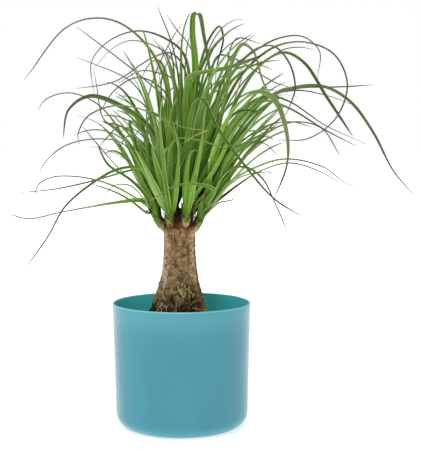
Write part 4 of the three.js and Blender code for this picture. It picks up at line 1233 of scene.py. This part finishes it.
def leaf_rows(leaf, shoot, draw):
    """Centre line, frame and size of a leaf's rows. The first rows are its clasping base, a cubic up
    the bud's own surface. The rest are spread over the leaf's line, closer where it bends, and turn
    with the CAD blade's stations, plus a slow twist of the leaf's own that grows towards the tip."""
    axis, foot = SHOOT_AXIS[shoot], SHOOT_ROOT[shoot]
    line = leaf["line"]
    cost, distance = bend_cost(line, LEAF_SAG, LEAF_LONGEST_STEP)
    free, t = spread_along(line, cost, distance, LEAF_STEPS)
    away = line[0] - foot
    outward = unit(away - axis * away.dot(axis))
    low = away.dot(axis) - 15 + 4 * leaf["share"]
    start = foot + axis * max(low, -0.5) + outward * (1.5 + 2.4 * (1 - leaf["share"]) ** 1.3)
    first = unit(free[1] - free[0])
    reach = np.linalg.norm(line[0] - start)
    s = (np.arange(SHEATH_STEPS) / SHEATH_STEPS)[:, None]
    sheath = (2 * s**3 - 3 * s**2 + 1) * start + (s**3 - 2 * s**2 + s) * axis * reach
    sheath = sheath + (3 * s**2 - 2 * s**3) * line[0] + (s**3 - s**2) * first * reach
    centre = np.vstack([sheath, free])
    along = unit(np.gradient(centre, axis=0))
    t_all = np.concatenate([np.zeros(SHEATH_STEPS), t])
    cad = np.column_stack([np.interp(t_all, leaf["t"], leaf["across"][:, i]) for i in range(3)])
    walked = np.append(0, np.cumsum(np.linalg.norm(np.diff(centre, axis=0), axis=1)))
    beyond = walked - walked[SHEATH_STEPS]
    loose = eased(np.clip((beyond + 6) / 34, 0, 1))[:, None]
    clasp = np.cross(along, outward)
    side = 1.0 if clasp[SHEATH_STEPS].dot(cad[0]) > 0 else -1.0
    across = (1 - loose) * clasp * side + loose * cad
    across = unit(across - along * (across * along).sum(axis=1)[:, None])
    twist = draw.uniform(-1.5, 1.5) * t_all**1.5
    twist = twist + 0.25 * np.sin(draw.uniform(3, 7) * t_all + draw.uniform(0, 6))
    twist = (twist * loose[:, 0])[:, None]
    square = np.cross(along, across)
    upper = square * np.cos(twist) - across * np.sin(twist)
    across = across * np.cos(twist) + square * np.sin(twist)
    slimmer = 0.28 * leaf["slim"] * eased(np.clip((t_all - 0.2) / 0.5, 0, 1))
    width = width_at(leaf["size"], t_all) * (1 - slimmer) - 0.3 * t_all
    width[-1] = 0.3
    width = width + 0.33 * leaf["size"] * (1 - loose[:, 0]) ** 2
    width[:4] *= [0.3, 0.66, 0.87, 0.97]
    return centre, across, upper, width, loose[:, 0], side, walked, t_all


def leaf_rings(leaf, shoot, draw):
    """Rings of a leaf: a thin closed section on each row. Its upper side runs from margin to margin
    as an arc round the bud where it clasps, and as a shallow V with a rounded midrib where it is
    free. Its under side lies a leaf's thickness below, and thins out to the margins."""
    centre, across, upper, width, loose, side, walked, t = leaf_rows(leaf, shoot, draw)
    u = np.linspace(1, -1, LEAF_COLUMNS)[None]
    half, free = width[:, None] / 2, loose[:, None]
    fading = np.minimum(1, (1 - t[:, None]) * 12 + 0.1)
    keel = 1.3 * np.maximum(KEEL_LEAST, KEEL_SHARE * width)[:, None] * fading
    bend = np.maximum(3.4, 0.55 * half)
    arc_x, arc_y = bend * np.sin(u * half / bend), side * bend * (1 - np.cos(u * half / bend))
    vee_y = keel * (0.75 * np.abs(u) + 0.25 * u**2 - 1)
    x = (1 - free) * arc_x + free * u * half
    y = (1 - free) * arc_y + free * vee_y
    thick = np.minimum(LEAF_THICKNESS, 0.35 * half + 0.1) * (1 - 0.7 * u**2)
    u = np.broadcast_to(u, x.shape)
    sides = [(x, x), (y, y - thick), (u, u)]
    ring_x, ring_y, ring_u = (np.hstack([top, low[:, -2:0:-1]]) for top, low in sides)
    points = centre[:, None] + across[:, None] * ring_x[..., None] + upper[:, None] * ring_y[..., None]
    return points, ring_u, walked, t


# Leaf: tough, smooth and satin, each in its own green from dark to yellowish. Farther out it turns
# greyer, and its thread of a tip dries. It has fine parallel veins and is creamy where it clasps the
# bud. Its midrib is paler, partly in its own colour and partly as a painted highlight, and its
# margins are painted pale as a painted highlight. A vein comes every 2 pi / 9 of a leaf's half width,
# about 3 mm on one 9 mm wide, which is coarser than real, so that veins show. Its mottle is 26 mm wide.
VEIN_RATE = 9.0
leaf_skin, tree, shader = new_material("living_leaf", 0.36, 1.45)
shader.inputs["Specular IOR Level"].default_value = 0.13
place = add_node(tree, "TexCoord").outputs["Object"]
across_leaf, along_leaf, rise, tone, dryness, straw_share, below, age = (
    add_node(tree, "Attribute", {"attribute_name": label}).outputs["Fac"]
    for label in ("across", "along", "rise", "tone", "dryness", "straw", "below", "age")
)
mottle = add_node(tree, "TexNoise", inputs={"Vector": place, "Scale": 38, "Detail": 3})
veins = add_node(
    tree, "Math", {"operation": "MULTIPLY_ADD"}, {0: across_leaf, 1: VEIN_RATE, 2: tone}
)
vein = add_node(tree, "Math", {"operation": "SINE"}, {0: veins.outputs[0]})
striped = add_node(
    tree, "Math", {"operation": "MULTIPLY_ADD"}, {0: vein.outputs[0], 1: 0.19, 2: tone}
)
blend = add_node(
    tree,
    "Math",
    {"operation": "MULTIPLY_ADD"},
    {0: mottle.outputs["Fac"], 1: 0.6, 2: striped.outputs[0]},
)
level = add_node(tree, "Math", {"operation": "SUBTRACT"}, {0: blend.outputs[0], 1: 0.27})
green = add_node(
    tree,
    "ValToRGB",
    inputs={"Fac": level.outputs[0]},
    stops=[(0.0, "#1e4a02"), (1.0, "#adc47a"), (0.3, "#427b0b"), (0.55, "#74a61c"), (0.75, "#659636")],
)
olive = add_node(
    tree,
    "ValToRGB",
    inputs={"Fac": level.outputs[0]},
    stops=[(0.0, "#464b3a"), (0.6, "#666a5a"), (1.0, "#7c7f72")],
)
under = add_node(tree, "Math", {"operation": "MULTIPLY"}, {0: below, 1: 0.3})
grey = add_node(
    tree, "Mix", COLOUR, {0: under.outputs[0], 6: green.outputs["Color"], 7: linear("#7a9f4a")}
)
off_centre = add_node(tree, "Math", {"operation": "ABSOLUTE"}, {0: across_leaf})
# Painted highlights: the midrib is painted paler, partly its own colour, and the margins are painted
# pale
rib, margin = (
    add_node(
        tree,
        "MapRange",
        inputs={
            "Value": off_centre.outputs[0],
            "From Min": starts,
            "From Max": ends,
            "To Min": at_start,
            "To Max": at_end,
        },
    )
    for starts, ends, at_start, at_end in ((0.0, 0.22, 0.4, 0.0), (0.75, 1.0, 0.0, 0.6))
)
ribbed = add_node(tree, "Mix", COLOUR, {0: rib.outputs[0], 6: grey.outputs[2], 7: linear("#b6d05e")})
painted_edge_highlight = add_node(
    tree, "Mix", COLOUR, {0: margin.outputs[0], 6: ribbed.outputs[2], 7: linear("#c9d88a")}
)
ageing = add_node(tree, "Mix", COLOUR, {0: age, 6: painted_edge_highlight.outputs[2], 7: olive.outputs["Color"]})
pale = add_node(
    tree,
    "MapRange",
    {"interpolation_type": "SMOOTHSTEP"},
    {"Value": rise, "From Min": 2, "From Max": 38, "To Min": 1.0, "To Max": 0.0},
)
height_share = add_node(tree, "Math", {"operation": "MULTIPLY"}, {0: rise, 1: 1 / 40})
creamy = add_node(
    tree,
    "ValToRGB",
    inputs={"Fac": height_share.outputs[0]},
    stops=[(0.04, "#cdbb8c"), (0.13, "#9ba552"), (0.34, "#587418")],
)
clasped = add_node(
    tree, "Mix", COLOUR, {0: pale.outputs[0], 6: ageing.outputs[2], 7: creamy.outputs["Color"]}
)
to_tip = add_node(tree, "Math", {"operation": "SUBTRACT"}, {0: 1.0, 1: along_leaf})
dry_share = add_node(tree, "Math", {"operation": "DIVIDE"}, {0: to_tip.outputs[0], 1: dryness})
dried = add_node(
    tree,
    "ValToRGB",
    inputs={"Fac": dry_share.outputs[0]},
    stops=[(0.3, "#ffffff"), (1.0, "#000000"), (0.6, "#8a8a8a")],
)
dead = add_node(tree, "Mix", COLOUR, {0: straw_share, 6: linear("#5f584e"), 7: linear("#c6ca78")})
ripe = add_node(
    tree, "Mix", COLOUR, {0: dried.outputs["Color"], 6: clasped.outputs[2], 7: dead.outputs[2]}
)
bump = add_node(tree, "Bump", inputs={"Height": vein.outputs[0], "Strength": 0.8, "Distance": 0.0002})
tree.links.new(ripe.outputs[2], shader.inputs["Base Color"])
tree.links.new(bump.outputs["Normal"], shader.inputs["Normal"])

# Leaves age from the crown's middle outwards, more so to its sides and top than to front and back.
# A leaf's greying starts at onset, a share of its length, and oldest is how far it goes. The rule's
# own leaves, inside the crown, age later and dry less.
CROWN_MIDDLE = np.array([8, 0, 290])
# The shaded leaf's dark green tone is painted shade
SHADED_TONE = 0.1
STRAW_DRYNESS = 0.62

for k, name in enumerate(SHOOT_NAMES):
    draw = np.random.default_rng(100 + k)
    made = [leaf_rings(leaf, k, draw) for leaf in leaves[k]]
    rings = np.stack([m[0] for m in made])
    count, rows, columns = rings.shape[:3]
    below_side = np.zeros((1, 1, columns))
    below_side[..., LEAF_COLUMNS:] = 1
    size = np.array([leaf["size"] for leaf in leaves[k]])
    along = np.stack([m[3] for m in made])
    at = np.arange(count)
    is_straw = np.array([leaf["straw"] for leaf in leaves[k]])
    is_shaded = np.array([leaf["shaded"] for leaf in leaves[k]])
    inner = (at >= outline_count[k]) & (at < solid_count[k])
    dryness = draw.uniform(0.1, 0.28, count)
    dryness = dryness + 0.5 * np.clip((8 - size) / 3, 0, 1) * draw.uniform(0.2, 1, count)
    dryness = np.where(inner, 0.06 + 0.25 * dryness, dryness)
    onset = (0.08 + 0.0035 * size**2 + 0.2 * inner)[:, None]
    length = np.array([m[2][-1] for m in made])
    oldest = draw.uniform(0.85, 1, count) * np.where(inner, 0.5, 1) * np.clip(length / 200, 0, 1) ** 2
    oldest = oldest * np.clip(1.65 - 0.1 * size, 0.45, 1)
    away = np.linalg.norm((rings.mean(axis=2) - CROWN_MIDDLE) * [1, 0.4, 1], axis=-1)
    dryness = dryness * np.clip((away[:, -1] - 20) / 90, 0.3, 1)
    age = np.clip((along - onset) / 0.3, 0, 1) * np.clip((away - 50) / 70, 0, 1) * oldest[:, None]
    age = age * ~is_shaded[:, None]
    values = {
        "across": np.stack([m[1] for m in made]),
        "rise": (rings - SHOOT_ROOT[k]) @ SHOOT_AXIS[k],
        "along": along[:, :, None],
        "age": age[:, :, None],
        "tone": np.where(is_shaded, SHADED_TONE, draw.uniform(0.0, 0.82, count))[:, None, None],
        "dryness": np.where(is_straw, STRAW_DRYNESS, dryness)[:, None, None],
        "straw": (is_straw | is_shaded).astype(float)[:, None, None],
        "below": below_side,
    }
    add_skins("leaves_" + name, rings, leaf_skin, ["shoot_" + name], values, sharp=32)


# THE BUDS AND THEIR OUTER SHEATHS
# Under the leaves each shoot has a firm core, which sits on the trunk's cut top in a rounded heel.
# The lowest sheaths are short and papery. They clasp the core and end in a dry tip.

# Each point: its place up the bud and its radius there, as shares of the bud's length and radius
BUD_OUTLINE = np.array([[-0.16, 0.5], [0, 0.8], [0.22, 0.86], [0.5, 1], [0.76, 0.8], [0.93, 0.38]])
CORE_ROWS = 16
CORE_SIDES = 18
SHEATHS_EACH = 4
SHEATH_ROWS = 14
SHEATH_COLUMNS = 9
TORN_ON = SHOOT_NAMES.index("front_right")


def core_rings():
    """Rings of the six cores: the CAD bud's radius along its axis, a little narrower and smoothed."""
    along, share = smooth_line(BUD_OUTLINE, CORE_ROWS).T
    angle = np.linspace(0, 2 * math.pi, CORE_SIDES, endpoint=False)
    rings = []
    for k in range(len(SHOOTS)):
        level, other = bud_frame(k)
        round_way = np.cos(angle)[:, None] * level + np.sin(angle)[:, None] * other
        centre = SHOOT_ROOT[k] + SHOOT_AXIS[k] * (along * BUD_LENGTH)[:, None]
        rings.append(centre[:, None] + round_way * (0.8 * BUD_RADIUS * share)[:, None, None])
    return np.stack(rings)


def sheath_rings(draw):
    """Rings of the outer sheaths: a part of a flaring tube round the axis, whose span is rounded off
    at its foot and shrinks to a tip as a power of the height. A torn one keeps its span, bulges, and
    is lower in the middle, by a power of the way across. Outer side first, then the inner."""
    t = np.linspace(0, 1, SHEATH_ROWS)[:, None]
    u = np.linspace(-1, 1, SHEATH_COLUMNS)
    u = np.concatenate([u, np.linspace(1, -1, SHEATH_COLUMNS)[1:-1]])
    inner = np.arange(len(u)) >= SHEATH_COLUMNS
    foot = np.sqrt(np.minimum(1, 0.08 + 5 * t))
    rings, rise = [], []
    for k in range(len(SHOOTS)):
        level, other = bud_frame(k)
        for j in range(SHEATHS_EACH):
            torn = (k, j) == (TORN_ON, 0)
            middle = -math.pi / 2 + (-1) ** j * (0.75 * j + draw.uniform(-0.3, 0.3))
            low, high = draw.uniform(-1.5, 0.5), draw.uniform(7, 12) + 5 * j
            shape = foot * (1.002 - t**1.6) ** 0.75
            span = draw.uniform(0.8, 1.15) * shape
            s = low + (high - low) * t
            if torn:
                shape = foot
                span, s = 1.3 * shape, 1 + (6.5 + 8 * np.abs(u) ** 2.5) * t
            r = np.interp(s, [-2, 0, 8, 17, 34], [3.2, 4.2, 4.8, 5.4, 5.9])
            r = r + draw.uniform(0.1, 0.7) * t**3
            r = r + 0.9 * torn * np.sin(math.pi * np.minimum(1, 1.3 * t))
            r = r + 0.35 * u**2 * shape - inner * 0.3 * (1 - 0.8 * u**2) - 0.08 * inner
            a = middle + span * u + draw.uniform(-0.5, 0.5) * t**2
            round_way = np.cos(a)[..., None] * level + np.sin(a)[..., None] * other
            rings.append(SHOOT_ROOT[k] + SHOOT_AXIS[k] * s[..., None] + round_way * r[..., None])
            rise.append(np.broadcast_to(s, r.shape))
    return np.stack(rings), np.stack(rise), u


cores = core_rings()
core_rise = np.stack([(cores[k] - SHOOT_ROOT[k]) @ SHOOT_AXIS[k] for k in range(len(SHOOTS))])
fresh = {
    "across": 0.5, "along": 0.0, "age": 0.0, "tone": 0.4, "dryness": 0.1, "straw": 0.0, "below": 0.0
}
add_skins("bud_cores", cores, leaf_skin, values={**fresh, "rise": core_rise})
sheaths, sheath_rise, sheath_across = sheath_rings(np.random.default_rng(41))
sheath_along = np.linspace(0, 1, sheaths.shape[1])[None, :, None]
is_torn = np.arange(len(sheaths)) == TORN_ON * SHEATHS_EACH
sheath_tone = np.random.default_rng(42).uniform(0.2, 1, len(sheaths))
values = {
    **fresh,
    "rise": sheath_rise,
    "across": sheath_across,
    "along": sheath_along,
    "dryness": np.where(is_torn, 0.01, 0.14)[:, None, None],
    "tone": sheath_tone[:, None, None],
}
add_skins("clasping_sheaths", sheaths, leaf_skin, values=values)


# THE STUDIO
# A white translucent table that glows a little from below, as in product photography, soft light
# from all round and from above, and the camera.

# The table's top, in metres: a fifth of a millimetre below the pot's foot
TABLE_SIDE, TABLE_FRONT, TABLE_BACK = 12, -6, 18
TABLE_TOP = -0.0002
corners = [
    (-TABLE_SIDE, TABLE_FRONT, TABLE_TOP),
    (TABLE_SIDE, TABLE_FRONT, TABLE_TOP),
    (TABLE_SIDE, TABLE_BACK, TABLE_TOP),
    (-TABLE_SIDE, TABLE_BACK, TABLE_TOP),
]
floor_mesh = bpy.data.meshes.new("studio_floor")
floor_mesh.from_pydata(corners, [], [(0, 1, 2, 3)])
floor = bpy.data.objects.new("studio_floor", floor_mesh)
bpy.context.scene.collection.objects.link(floor)
acrylic, tree, shader = new_material("opal_acrylic_table", 0.9)
shader.inputs["Base Color"].default_value = linear("#f6f6f4")
shader.inputs["Emission Color"].default_value = (1, 1, 1, 1)
shader.inputs["Emission Strength"].default_value = 0.6
floor_mesh.materials.append(acrylic)

# White walls and ceiling, brighter behind the plant and dimmer in front of it and at its right. The
# camera sees them in full white.
world = bpy.data.worlds.new("white_studio")
bpy.context.scene.world = world
world.use_nodes = True
sky = world.node_tree
background = sky.nodes["Background"]
background.inputs["Color"].default_value = (1, 1, 1, 1)
direction = add_node(sky, "TexCoord").outputs["Generated"]
towards_back = add_node(
    sky, "VectorMath", {"operation": "DOT_PRODUCT"}, {0: direction, 1: (-0.25, 1.0, 0.0)}
).outputs["Value"]
around = add_node(
    sky,
    "MapRange",
    inputs={"Value": towards_back, "From Min": -0.9, "From Max": 0.3, "To Min": 0.17, "To Max": 0.63},
)
seen = add_node(sky, "LightPath").outputs["Is Camera Ray"]
strength = add_node(sky, "Mix", inputs={0: seen, 2: around.outputs[0], 3: 1.0})
sky.links.new(strength.outputs[0], background.inputs["Strength"])


def aim(light, place, target):
    """Puts a light at place, in metres, and turns it so that it shines at target."""
    light.location = place
    way = np.array(target, float) - np.array(place, float)
    fall = math.atan2(math.hypot(way[0], way[1]), -way[2])
    light.rotation_euler = (fall, 0, math.atan2(way[1], way[0]) - math.pi / 2)


# A broad light from above and a little from the left front, whose shadows have very soft edges
key = bpy.data.lights.new("broad_overhead_light", "SUN")
key.energy = 1.92
key.angle = math.radians(38)
key_lamp = bpy.data.objects.new("broad_overhead_light", key)
bpy.context.scene.collection.objects.link(key_lamp)
aim(key_lamp, (-0.3, -0.8, 1.6), (0, 0, 0.2))

# The eye is 1.2 m in front of the pot's axis and looks 4.5 degrees down
eye = bpy.data.cameras.new("camera")
eye.lens = 89.4
eye.sensor_width = 36
camera = bpy.data.objects.new("camera", eye)
bpy.context.scene.collection.objects.link(camera)
camera.location = (0.0313, -1.2, 0.3138)
camera.rotation_euler = (math.radians(90 - 4.51), 0, 0)
bpy.context.scene.camera = camera
bpy.context.scene.view_settings.view_transform = "Standard"
